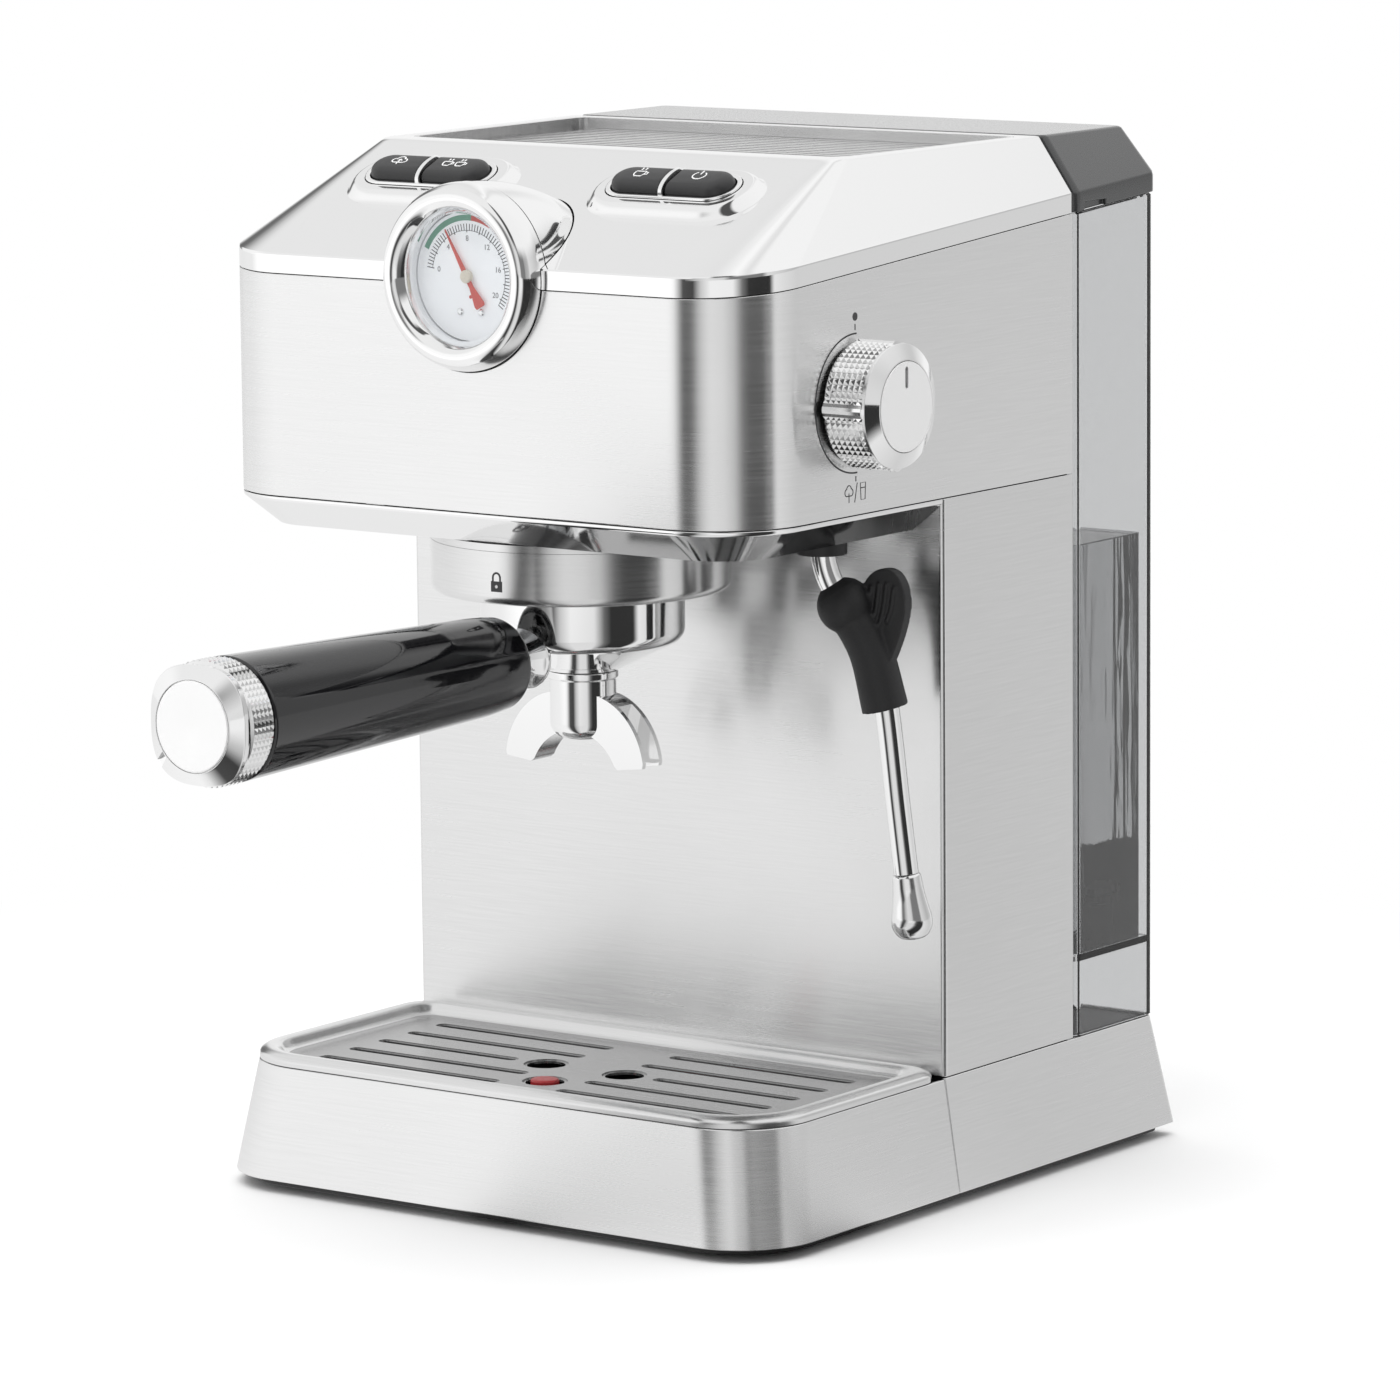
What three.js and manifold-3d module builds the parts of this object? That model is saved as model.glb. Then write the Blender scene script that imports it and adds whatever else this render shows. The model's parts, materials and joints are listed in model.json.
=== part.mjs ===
// Espresso machine with portafilter, steam wand, pressure gauge, drip tray and rear water tank.
// Millimetres, +Z up. The front faces -Y and the steam knob is on the +X side.
// Shapes are drawn in the machine's own frame, with x = 0 on its middle plane and z = 0 on the floor.

import * as THREE from 'three';
import { mergeVertices } from 'three/addons/utils/BufferGeometryUtils.js';
import Module from 'manifold-3d';

const wasm = await Module();
wasm.setup();

// ---------------------------------------------------------------- driving dimensions

const GAP = 0.3;                  // clearance between neighbouring pieces
const SHEET = 1.2;                // steel sheet thickness

const HALF_WIDTH = 101.15;        // half of the body width
const HEAD_FRONT = -104.5;
const COLUMN_FRONT = -2.4;
const STEEL_REAR = 69.2;          // rear edge of the steel sides
const TANK_FRONT = 70.6;
const REAR = 116;                 // rear of the tank and of the base at its top
const TOP = 320.5;

const FOOT_TOP = 1.5;
const PAN_BOTTOM = 1.8;
const PAN_STEP = 3.7;
const PAN_TOP = 5.2;
const SKIRT_BOTTOM = 4.0;
const SKIRT_TOP = 39.1;
const SKIRT_FLARE = 5.5;          // how far the skirt spreads towards the floor
const TRAY_FRONT = -100.1;        // front of the tray at the skirt's top
const TRAY_REAR = COLUMN_FRONT - GAP;
const BASE_RADIUS = 25;           // plan radius of the base's front corners
const REAR_RADIUS = 3.5;

const HEAD_BOTTOM = 217;
const HEAD_TOP_FRONT = 284.5;     // height of the steel's upper edge at the front
const HEAD_TOP_SLOPE = 12.6 / (STEEL_REAR - HEAD_FRONT);
const HEAD_RADIUS = 28;
const RIM_BAND = 6;               // upright band of the top cover
const TRIM_LIP = 1.2;
const TRIM_INSET = 10.8;
const FLOOR_TOP = 206.7;
const FLOOR_BOTTOM = 204.7;

const PLATEAU_FRONT = -36;        // where the slanted control panel meets the flat top
const PLATEAU_HALF_FRONT = 86.5;
const PLATEAU_HALF_REAR = 89;
const PANEL_FOOT = HEAD_TOP_FRONT + GAP + RIM_BAND;
const PANEL_ANGLE = Math.atan2(TOP - PANEL_FOOT, PLATEAU_FRONT - HEAD_FRONT);

const GAUGE_Z = 287.2;
const GAUGE_RADIUS = 28.2;
const GAUGE_HOUSING_FRONT = 101.3;
const GAUGE_HOUSING_LENGTH = 53;
const BEZEL_BACK = GAUGE_HOUSING_FRONT + 0.3;
const DIAL_RADIUS = 19.2;
const NEEDLE_ANGLE = 30;          // degrees left of upright

const BUTTON_X = 45.6;            // middle of each pair of buttons
const BUTTON_Y = -60.6;
const BUTTON_LENGTH = 43;         // of a pair
const BUTTON_WIDTH = 12.6;
const BUTTON_PROUD = 4;
const BUTTON_SUNK = 4.5;
const BOSS_HEIGHT = 3.2;          // of the raised pad round each pair of buttons
const BOSS_MARGIN = 3.8;
const BOSS_SLOPE = 4;

const GROUP = { x: 0, y: -48.8 };
const COLLAR_RADIUS = 45.8;
const COLLAR_BOTTOM = 188;
const FILTER_RADIUS = 31.3;
const LEDGE_BOTTOM = 188.4;
const LEDGE_TOP = 190;
const LEDGE_HALF = 13;            // narrow enough to let the lugs drop past after a 45 degree turn
const LUG_HALF = 9;
const HANDLE_Z = 170;
const HANDLE_INNER = -92;
const HANDLE_OUTER = -218;

const KNOB = { y: -48.3, z: 250.2 };
const KNOB_RADIUS = 19.4;
const KNOB_BACK = 102.2;
const KNOB_FACE = 119.5;

const WAND = { x: 76, y: -30 };
const WAND_PIPE_RADIUS = 3.8;
const WAND_END = [97.1, -17.1, 104.6];
const WAND_ROUTE = [
  [76, -30, 222], [76, -30, 203], [78.2, -29, 193.5], [83.5, -26.5, 184], [89.5, -24, 172],
  [93.2, -22, 158], [95.6, -19, 125], WAND_END,
];
const NOZZLE_LENGTH = 20.6;

const TANK_WALL = 2.2;
const TANK_FLOOR = 65;
const TANK_RADIUS = 3;
const LID_OVERHANG = 1.2;
const TANK_VALVE = { x: 0, y: 92 };

const GRID_FIELD = 38.6;
const GRID_CREST = 42.5;
const SLOT_ROWS = 5;
const SLOT_PITCH = 14.6;
const SLOT_MIDDLE_Y = -50;
const SLOT_WIDTH = 3;
const SLOT_INNER = 12;
const SLOT_OUTER = 79.5;
const FLOAT_Y = -70.5;
const FINGER_HOLE_X = 15;

const ROUND = 24;                 // sides of a round piece
const LARGE_ROUND = 32;
const SMALL_ROUND = 12;
const CORNER_STEPS = 5;

// ---------------------------------------------------------------- finishes

function finish(color, roughness, metalness) {
  return new THREE.MeshStandardMaterial({ color, roughness, metalness });
}

const brushedSteel = finish(0xc9cacb, 0.34, 1);
const chrome = finish(0xe9eaec, 0.08, 1);
const blackPlastic = finish(0x1b1b1c, 0.55, 0);
const glossBlack = finish(0x0d0d0e, 0.12, 0);
const greyPlastic = finish(0x66676a, 0.4, 0);
const blackRubber = finish(0x161616, 0.85, 0);
const clearPlastic = new THREE.MeshStandardMaterial({
  color: 0xdfe3e6, roughness: 0.06, metalness: 0, transparent: true, opacity: 0.35,
});
const redPlastic = finish(0xb3262a, 0.35, 0);
const whiteEnamel = finish(0xf4f5f4, 0.4, 0);
const aluminium = finish(0xb8babd, 0.45, 1);
const brass = finish(0xb08d4a, 0.35, 1);
const greenBoard = finish(0x1f5f3c, 0.5, 0);
const silicone = finish(0xdcdcd6, 0.5, 0);

// ---------------------------------------------------------------- solids from three.js shapes

// Position-only indexed copy, free of empty triangles and with its faces pointing out.
function closed(geometry) {
  geometry.deleteAttribute('normal');
  geometry.deleteAttribute('uv');
  const merged = mergeVertices(geometry, 1e-4);
  const points = merged.getAttribute('position');
  const index = merged.getIndex().array;
  const faces = [];
  let volume = 0;
  const [a, b, c] = [new THREE.Vector3(), new THREE.Vector3(), new THREE.Vector3()];
  for (let i = 0; i < index.length; i += 3) {
    const [p, q, r] = [index[i], index[i + 1], index[i + 2]];
    if (p === q || q === r || r === p) continue;
    faces.push(p, q, r);
    a.fromBufferAttribute(points, p);
    b.fromBufferAttribute(points, q);
    c.fromBufferAttribute(points, r);
    volume += a.dot(b.cross(c));
  }
  if (volume < 0) {
    for (let i = 0; i < faces.length; i += 3) {
      [faces[i + 1], faces[i + 2]] = [faces[i + 2], faces[i + 1]];
    }
  }
  merged.setIndex(faces);
  return merged;
}

function toManifold(geometry) {
  return new wasm.Manifold(new wasm.Mesh({
    numProp: 3,
    vertProperties: new Float32Array(geometry.getAttribute('position').array),
    triVerts: new Uint32Array(geometry.getIndex().array),
  }));
}

function fromManifold(manifold) {
  const mesh = manifold.getMesh();
  const geometry = new THREE.BufferGeometry();
  geometry.setAttribute('position', new THREE.BufferAttribute(mesh.vertProperties, 3));
  geometry.setIndex(new THREE.BufferAttribute(mesh.triVerts, 1));
  return geometry;
}

function join(first, ...others) {
  return fromManifold(others.reduce((sum, other) => sum.add(toManifold(other)), toManifold(first)));
}

function cut(first, ...others) {
  return fromManifold(others.reduce((rest, tool) => rest.subtract(toManifold(tool)), toManifold(first)));
}

function common(first, second) {
  return fromManifold(toManifold(first).intersect(toManifold(second)));
}

// Plan outline with rounded corners, anticlockwise from the front left. The sides may taper.
function outline({ half, rearHalf = half, front, rear, radius, rearRadius = 1 }) {
  const corners = [
    [-half + radius, front + radius, radius, 180],
    [half - radius, front + radius, radius, 270],
    [rearHalf - rearRadius, rear - rearRadius, rearRadius, 0],
    [-rearHalf + rearRadius, rear - rearRadius, rearRadius, 90],
  ];
  const points = [];
  for (const [x, y, r, start] of corners) {
    for (let i = 0; i <= CORNER_STEPS; i += 1) {
      const angle = THREE.MathUtils.degToRad(start + (90 * i) / CORNER_STEPS);
      points.push(new THREE.Vector2(x + r * Math.cos(angle), y + r * Math.sin(angle)));
    }
  }
  return points;
}

function prism(points, bottom, top) {
  const shape = new THREE.Shape(points);
  const depth = top - bottom;
  return closed(new THREE.ExtrudeGeometry(shape, { depth, bevelEnabled: false }).translate(0, 0, bottom));
}

// Skin through plan outlines of the same number of points. Each level's z is a number or a function of y.
function loft(levels) {
  const rings = levels.map(({ points, z }) => points.map((p) => (
    new THREE.Vector3(p.x, p.y, typeof z === 'function' ? z(p.y) : z)
  )));
  const count = rings[0].length;
  const index = [];
  for (let level = 0; level + 1 < rings.length; level += 1) {
    for (let i = 0; i < count; i += 1) {
      const a = level * count + i;
      const b = level * count + ((i + 1) % count);
      index.push(a, b, b + count, a, b + count, a + count);
    }
  }
  const last = (rings.length - 1) * count;
  for (const [p, q, r] of THREE.ShapeUtils.triangulateShape(levels[0].points, [])) {
    index.push(r, q, p);
  }
  for (const [p, q, r] of THREE.ShapeUtils.triangulateShape(levels.at(-1).points, [])) {
    index.push(last + p, last + q, last + r);
  }
  const geometry = new THREE.BufferGeometry().setFromPoints(rings.flat());
  geometry.setIndex(index);
  return closed(geometry);
}

function box(x0, x1, y0, y1, z0, z1) {
  return closed(new THREE.BoxGeometry(x1 - x0, y1 - y0, z1 - z0)
    .translate((x0 + x1) / 2, (y0 + y1) / 2, (z0 + z1) / 2));
}

// Upright cylinder.
function disc(radius, bottom, top, { x = 0, y = 0 } = {}, sides = ROUND) {
  return closed(new THREE.CylinderGeometry(radius, radius, top - bottom, sides)
    .rotateX(Math.PI / 2).translate(x, y, (bottom + top) / 2));
}

// Solid of revolution about Z, from [radius, z] pairs.
function turned(profile, sides = ROUND) {
  const points = profile.map(([r, z]) => new THREE.Vector2(r, z));
  return closed(new THREE.LatheGeometry(points, sides).rotateX(Math.PI / 2));
}

function ring(inner, outer, bottom, top, sides = ROUND) {
  return turned([[inner, bottom], [outer, bottom], [outer, top], [inner, top], [inner, bottom]], sides);
}

// Solid tube along a smooth curve through the points.
function tube(points, radius, sides = 8, steps = 24) {
  const curve = new THREE.CatmullRomCurve3(points.map((p) => new THREE.Vector3(...p)));
  const section = new THREE.Shape();
  for (let i = 0; i < sides; i += 1) {
    const angle = (2 * Math.PI * i) / sides;
    const [u, v] = [radius * Math.cos(angle), radius * Math.sin(angle)];
    if (i === 0) section.moveTo(u, v);
    else section.lineTo(u, v);
  }
  return closed(new THREE.ExtrudeGeometry(section, { steps, extrudePath: curve, bevelEnabled: false }));
}

const forward = (geometry, { x = 0, z = 0 } = {}) => geometry.rotateX(Math.PI / 2).translate(x, 0, z);
const sideways = (geometry, { y, z }) => geometry.rotateY(Math.PI / 2).translate(0, y, z);
const moved = (geometry, x, y, z = 0) => geometry.translate(x, y, z);

const headTop = (y) => HEAD_TOP_FRONT + HEAD_TOP_SLOPE * (y - HEAD_FRONT);
const panelHeight = (y) => PANEL_FOOT + Math.tan(PANEL_ANGLE) * (y - HEAD_FRONT);

// Puts a shape drawn flat at the origin onto a raised pad of the slanted control panel.
function onPanel(geometry, x) {
  geometry.translate(0, 0, BOSS_HEIGHT).rotateX(PANEL_ANGLE);
  return geometry.translate(x, BUTTON_Y, panelHeight(BUTTON_Y));
}

const machine = new THREE.Group();

function part(name, geometry, material) {
  const mesh = new THREE.Mesh(geometry, material);
  mesh.name = name;
  geometry.computeVertexNormals();
  machine.add(mesh);
}

// ---------------------------------------------------------------- base

function addBase() {
  const lower = outline({ half: 103.2, front: -102, rear: REAR + 2, radius: BASE_RADIUS, rearRadius: 6 });
  const upper = outline({ half: 99, front: -97, rear: REAR - 2.5, radius: BASE_RADIUS - 4, rearRadius: 5 });
  part('base_pan', join(prism(lower, PAN_BOTTOM, PAN_STEP), prism(upper, PAN_STEP - 1, PAN_TOP)), blackPlastic);
  const feet = { front_left: [-84, -80], front_right: [84, -80], rear_left: [-84, 96], rear_right: [84, 96] };
  for (const [place, [x, y]] of Object.entries(feet)) {
    part(`foot_${place}`, disc(9, 0, FOOT_TOP, { x, y }, SMALL_ROUND), blackRubber);
  }
  const skirt = (inset, low, high) => {
    const seam = { half: HALF_WIDTH - inset, rear: REAR - inset };
    const front = inset ? -40 : COLUMN_FRONT;
    const foot = { half: seam.half + SKIRT_FLARE, rear: seam.rear + SKIRT_FLARE };
    const level = (plan) => outline({ ...plan, front, radius: 1, rearRadius: REAR_RADIUS - inset });
    return loft([{ points: level(foot), z: low }, { points: level(seam), z: high }]);
  };
  const gland = { x: -70, z: 18 };
  part('rear_base_skirt', cut(
    skirt(0, SKIRT_BOTTOM, SKIRT_TOP),
    skirt(SHEET, SKIRT_BOTTOM - 0.01, SKIRT_TOP + 0.01),
    forward(disc(6.8, -130, -100), gland),
  ), brushedSteel);
  const face = -REAR - SKIRT_FLARE + 0.4;
  const glandProfile = [[3.6, face + 8], [6.5, face + 8], [6.5, face], [9, face], [9, face - 1.4],
    [7.4, face - 2.4], [3.6, face - 2.4], [3.6, face + 8]];
  part('power_inlet', forward(turned(glandProfile, SMALL_ROUND), gland), blackRubber);
}

// Moulded frame: a deck over the rear base and the wall between the works and the tank.
function addChassis() {
  const deckPlan = outline({ half: 98.9, front: 0, rear: REAR - 2.2, radius: 3, rearRadius: 2 });
  const deck = prism(deckPlan, 36, SKIRT_TOP - GAP);
  const wall = prism(outline({ half: 99.5, front: 66, rear: 69, radius: 1, rearRadius: 1 }), 37, headTop(66));
  part('chassis', cut(
    join(deck, wall),
    box(-70, 70, 8, 58, 30, 45),
    disc(6, 30, 45, TANK_VALVE, SMALL_ROUND),
  ), blackPlastic);
}

function addDripTray() {
  const skirt = (inset, low, high) => {
    const seam = { half: HALF_WIDTH - inset, front: TRAY_FRONT + inset };
    const foot = { half: seam.half + SKIRT_FLARE, front: seam.front - SKIRT_FLARE };
    const rear = inset ? 40 : TRAY_REAR;
    const level = (plan) => outline({ ...plan, rear, radius: BASE_RADIUS - inset });
    return loft([{ points: level(foot), z: low }, { points: level(seam), z: high }]);
  };
  part('tray_skirt', cut(
    skirt(0, SKIRT_BOTTOM, SKIRT_TOP - GAP),
    skirt(SHEET, SKIRT_BOTTOM - 0.01, SKIRT_TOP),
  ), brushedSteel);

  const tub = (inset, low, high) => prism(outline({
    half: 97.5 - inset, front: -96.5 + inset, rear: TRAY_REAR - 0.5 - inset,
    radius: BASE_RADIUS - 5, rearRadius: 6,
  }), low, high);
  part('tray_tub', cut(tub(0, PAN_TOP + 0.8, 36.9), tub(2, 8, 40)), blackPlastic);

  const plan = (inset) => outline({
    half: HALF_WIDTH - inset, front: TRAY_FRONT + inset, rear: TRAY_REAR - inset,
    radius: BASE_RADIUS - inset, rearRadius: 10 - inset / 2,
  });
  const rim = loft([
    { points: plan(0), z: SKIRT_TOP },
    { points: plan(0), z: SKIRT_TOP + 1.6 },
    { points: plan(1), z: GRID_CREST - 0.5 },
    { points: plan(2.6), z: GRID_CREST },
  ]);
  const pocket = loft([
    { points: plan(10.5), z: GRID_FIELD },
    { points: plan(8.5), z: GRID_FIELD + 0.8 },
    { points: plan(6), z: GRID_CREST + 0.01 },
  ]);
  const openings = [];
  for (let row = 0; row < SLOT_ROWS; row += 1) {
    const y = SLOT_MIDDLE_Y + (row - (SLOT_ROWS - 1) / 2) * SLOT_PITCH;
    const inner = row === (SLOT_ROWS - 1) / 2 ? FINGER_HOLE_X + 12 : SLOT_INNER;
    for (const side of [-1, 1]) {
      const [x0, x1] = side < 0 ? [-SLOT_OUTER, -inner] : [inner, SLOT_OUTER];
      openings.push(box(x0, x1, y - SLOT_WIDTH / 2, y + SLOT_WIDTH / 2, 36, 40));
    }
  }
  openings.push(disc(6, 36, 40, { y: FLOAT_Y }, SMALL_ROUND));
  for (const side of [-1, 1]) {
    openings.push(disc(6, 36, 40, { x: side * FINGER_HOLE_X, y: SLOT_MIDDLE_Y }, SMALL_ROUND));
  }
  part('drip_grid', cut(join(rim, prism(plan(3), 37.4, SKIRT_TOP + 0.5)), pocket, ...openings), brushedSteel);

  const floatProfile = [[0, 9], [9, 9], [9, 13], [4.4, 14], [4.4, 38.4], [3.4, 39.4], [0, 39.4]];
  part('overflow_float', moved(turned(floatProfile, SMALL_ROUND), 0, FLOAT_Y), redPlastic);
}

// ---------------------------------------------------------------- column and head

function addColumn() {
  const plan = (inset, rear) => outline({
    half: HALF_WIDTH - inset, front: COLUMN_FRONT + inset, rear, radius: 3 - inset,
  });
  part('column_shell', cut(
    prism(plan(0, STEEL_REAR), SKIRT_TOP + GAP, HEAD_BOTTOM - GAP),
    prism(plan(SHEET, 90), 30, 230),
  ), brushedSteel);
}

function addHead() {
  const plan = (inset, rear) => outline({
    half: HALF_WIDTH - inset, front: HEAD_FRONT + inset, rear, radius: HEAD_RADIUS - inset,
  });
  const outer = plan(0, STEEL_REAR);
  const inner = plan(SHEET, 90);
  part('head_shell', cut(
    loft([{ points: outer, z: HEAD_BOTTOM }, { points: outer, z: headTop }]),
    loft([{ points: inner, z: 200 }, { points: inner, z: (y) => headTop(y) + 5 }]),
    forward(disc(GAUGE_RADIUS + GAP, 90, 120), { z: GAUGE_Z }),
    sideways(disc(5, 90, 110, {}, SMALL_ROUND), KNOB),
  ), brushedSteel);

  const trim = (inset, extra, rear) => loft([
    { points: plan(TRIM_INSET + inset, rear), z: HEAD_BOTTOM - GAP - TRIM_LIP - 8.8 - extra },
    { points: plan(inset, rear), z: HEAD_BOTTOM - GAP - TRIM_LIP },
    { points: plan(inset, rear), z: HEAD_BOTTOM - GAP + extra },
  ]);
  part('head_trim', cut(trim(0, 0, TRAY_REAR), trim(1.6, 1, 30)), chrome);

  const floorPlan = outline({
    half: HALF_WIDTH - TRIM_INSET - GAP, front: HEAD_FRONT + TRIM_INSET + GAP, rear: TRAY_REAR, radius: 17,
  });
  part('head_floor', cut(
    prism(floorPlan, FLOOR_BOTTOM - GAP, FLOOR_TOP - GAP),
    disc(44.5, 200, 210, GROUP),
    disc(8, 200, 210, WAND, SMALL_ROUND),
  ), aluminium);
}

// Outer form shared by the top cover and, with other limits, by its hollow inside.
function coverForm(inset, drop) {
  const side = outline({
    half: HALF_WIDTH - inset, front: HEAD_FRONT + inset, rear: STEEL_REAR - inset, radius: HEAD_RADIUS - inset,
  });
  const plateau = outline({
    half: PLATEAU_HALF_FRONT - inset * 0.6, rearHalf: PLATEAU_HALF_REAR - inset * 0.8,
    front: PLATEAU_FRONT + inset * 0.3, rear: STEEL_REAR - inset, radius: 6,
  });
  return loft([
    { points: side, z: (y) => headTop(y) + GAP - drop },
    { points: side, z: (y) => headTop(y) + GAP + RIM_BAND - drop * 0.8 },
    { points: plateau, z: TOP - drop },
  ]);
}

function warmerPlan(inset) {
  return outline({
    half: 82 - inset, rearHalf: 84 - inset, front: -28 + inset, rear: 65.5 - inset,
    radius: 6 - inset, rearRadius: 5 - inset,
  });
}

// Bullet-shaped body of the gauge, lying back into the control panel.
function housingProfile(spare) {
  const steps = 7;
  const profile = [[0, GAUGE_HOUSING_FRONT + spare]];
  for (let i = 0; i <= steps; i += 1) {
    const angle = (Math.PI / 2) * (i / steps);
    const radius = (GAUGE_RADIUS - 0.2 + spare) * Math.cos(angle);
    const height = GAUGE_HOUSING_FRONT - (GAUGE_HOUSING_LENGTH + spare) * Math.sin(angle);
    profile.push([i === steps ? 0 : radius, height]);
  }
  return profile;
}

function pill(length, width, steps = 6) {
  const [reach, r] = [(length - width) / 2, width / 2];
  const points = [];
  for (const [x, start] of [[reach, -90], [-reach, 90]]) {
    for (let i = 0; i <= steps; i += 1) {
      const angle = THREE.MathUtils.degToRad(start + (180 * i) / steps);
      points.push(new THREE.Vector2(x + r * Math.cos(angle), r * Math.sin(angle)));
    }
  }
  return points;
}

function addTopCover() {
  const frameLength = BUTTON_LENGTH + 4;
  const frameWidth = BUTTON_WIDTH + 4;
  const holes = [-1, 1].map((side) => (
    onPanel(prism(pill(frameLength + 2 * GAP, frameWidth + 2 * GAP), -12, 12), side * BUTTON_X)
  ));
  const bossFoot = [BOSS_MARGIN + BOSS_SLOPE, -BOSS_HEIGHT - 0.6];
  const bossLevels = [bossFoot, [BOSS_MARGIN, -0.4], [BOSS_MARGIN - 1, 0]];
  const bosses = [-1, 1].map((side) => onPanel(loft(bossLevels.map(([grow, z]) => (
    { points: pill(frameLength + 2 * grow, frameWidth + 2 * grow), z }
  ))), side * BUTTON_X));
  part('top_cover', cut(
    join(coverForm(0, 0), ...bosses),
    coverForm(1.8, 1.9),
    prism(warmerPlan(0), 300, 330),
    forward(turned(housingProfile(0.4)), { z: GAUGE_Z }),
    forward(disc(GAUGE_RADIUS + GAP, 98, 120), { z: GAUGE_Z }),
    ...holes,
  ), chrome);

  const ribs = [];
  for (let y = -21; y <= 60; y += 5.4) ribs.push(box(-78, 78, y, y + 2.4, 315.5, 316.9));
  part('cup_warmer_plate', join(
    cut(prism(warmerPlan(GAP), 314.2, TOP - 0.2), prism(warmerPlan(GAP + 1.4), 316, 330)),
    ...ribs,
  ), brushedSteel);

  const sides = { left: -1, right: 1 };
  for (const [place, side] of Object.entries(sides)) {
    const frame = cut(
      prism(pill(frameLength, frameWidth), -3, 0.8),
      prism(pill(BUTTON_LENGTH + 2 * GAP, BUTTON_WIDTH + 2 * GAP), -4, 2),
    );
    const divider = box(-0.7, 0.7, -BUTTON_WIDTH / 2 - 1, BUTTON_WIDTH / 2 + 1, -3, 2.6);
    part(`button_frame_${place}`, onPanel(join(frame, divider), side * BUTTON_X), chrome);
  }

  const buttons = {
    button_steam: [-1, -1], button_two_cups: [-1, 1], button_one_cup: [1, -1], button_power: [1, 1],
  };
  for (const [name, [pair, side]] of Object.entries(buttons)) {
    const levels = [[0, -BUTTON_SUNK], [0, 2.2], [0.8, 3.3], [2.4, BUTTON_PROUD]].map(([inset, z]) => (
      { points: pill(BUTTON_LENGTH - 2 * inset, BUTTON_WIDTH - 2 * inset), z }
    ));
    const half = side < 0 ? box(-40, -1, -20, 20, -10, 10) : box(1, 40, -20, 20, -10, 10);
    part(name, onPanel(common(loft(levels), half), pair * BUTTON_X), glossBlack);
  }
}

// ---------------------------------------------------------------- pressure gauge

function addGauge() {
  const place = { z: GAUGE_Z };
  const cavity = disc(DIAL_RADIUS + 0.3, 84, 110);
  part('gauge_housing', forward(cut(turned(housingProfile(0)), cavity), place), chrome);

  const bezelProfile = [[19.5, BEZEL_BACK], [GAUGE_RADIUS, BEZEL_BACK], [GAUGE_RADIUS, 105.6], [27, 109.2],
    [23.6, 111.7], [20.2, 110.2], [18.9, 107.2], [18.9, 106.5], [19.5, 106.3], [19.5, BEZEL_BACK]];
  part('gauge_bezel', forward(turned(bezelProfile, LARGE_ROUND), place), chrome);
  part('gauge_lens', forward(disc(DIAL_RADIUS, 105.1, 106), place), clearPlastic);
  part('gauge_dial', forward(ring(0.9, DIAL_RADIUS, 101.9, 102.7), place), whiteEnamel);

  const pointer = new THREE.Shape([
    new THREE.Vector2(-0.9, 0), new THREE.Vector2(-0.7, -4), new THREE.Vector2(-1.7, -10),
    new THREE.Vector2(1.7, -10), new THREE.Vector2(0.7, -4), new THREE.Vector2(0.9, 0),
    new THREE.Vector2(0.2, 15.8), new THREE.Vector2(-0.2, 15.8),
  ]);
  const blade = closed(new THREE.ExtrudeGeometry(pointer, { depth: 0.6, bevelEnabled: false })
    .rotateZ(THREE.MathUtils.degToRad(NEEDLE_ANGLE)).translate(0, 0, 103.1));
  const hub = disc(2, 103, 104.6, {}, SMALL_ROUND);
  const shaft = disc(0.6, 99, 103.2, {}, 8);
  part('gauge_needle', forward(join(blade, hub, shaft), place), redPlastic);
}

// ---------------------------------------------------------------- brew group

function addGroup() {
  const here = (geometry) => moved(geometry, GROUP.x, GROUP.y);
  const collarTop = FLOOR_BOTTOM - 2 * GAP;
  part('group_collar', here(turned([[41, COLLAR_BOTTOM + 1], [42, COLLAR_BOTTOM], [44.2, COLLAR_BOTTOM],
    [45.3, COLLAR_BOTTOM + 1], [COLLAR_RADIUS, COLLAR_BOTTOM + 3], [COLLAR_RADIUS, collarTop],
    [41, collarTop], [41, COLLAR_BOTTOM + 1]], LARGE_ROUND)), brushedSteel);

  // The head's ring holds two ledges, front and rear, that the portafilter's lugs turn over.
  const ledges = common(
    ring(32.4, 38, LEDGE_BOTTOM, LEDGE_TOP),
    box(-LEDGE_HALF, LEDGE_HALF, -50, 50, 180, 195),
  );
  const headBody = join(
    turned([[2.3, 201], [40.6, 201], [40.6, 209], [2.3, 209], [2.3, 201]]),
    ring(36.9, 40.6, LEDGE_BOTTOM, 202),
  );
  part('brew_head', here(join(headBody, ledges)), aluminium);
  part('group_gasket', here(ring(27.6, 34.5, 195.8, 200.7)), blackRubber);
  part('shower_screen', here(turned([[2.5, 199.6], [4.6, 198.9], [25.4, 198.9], [27.2, 199.6], [27.2, 200.7],
    [2.5, 200.7], [2.5, 199.6]])), brushedSteel);
  part('shower_screw', here(turned([[0, 197], [3.6, 197], [4.2, 197.6], [4.2, 198.6], [2, 198.6], [2, 208],
    [0, 208]], SMALL_ROUND)), brushedSteel);
}

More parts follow.
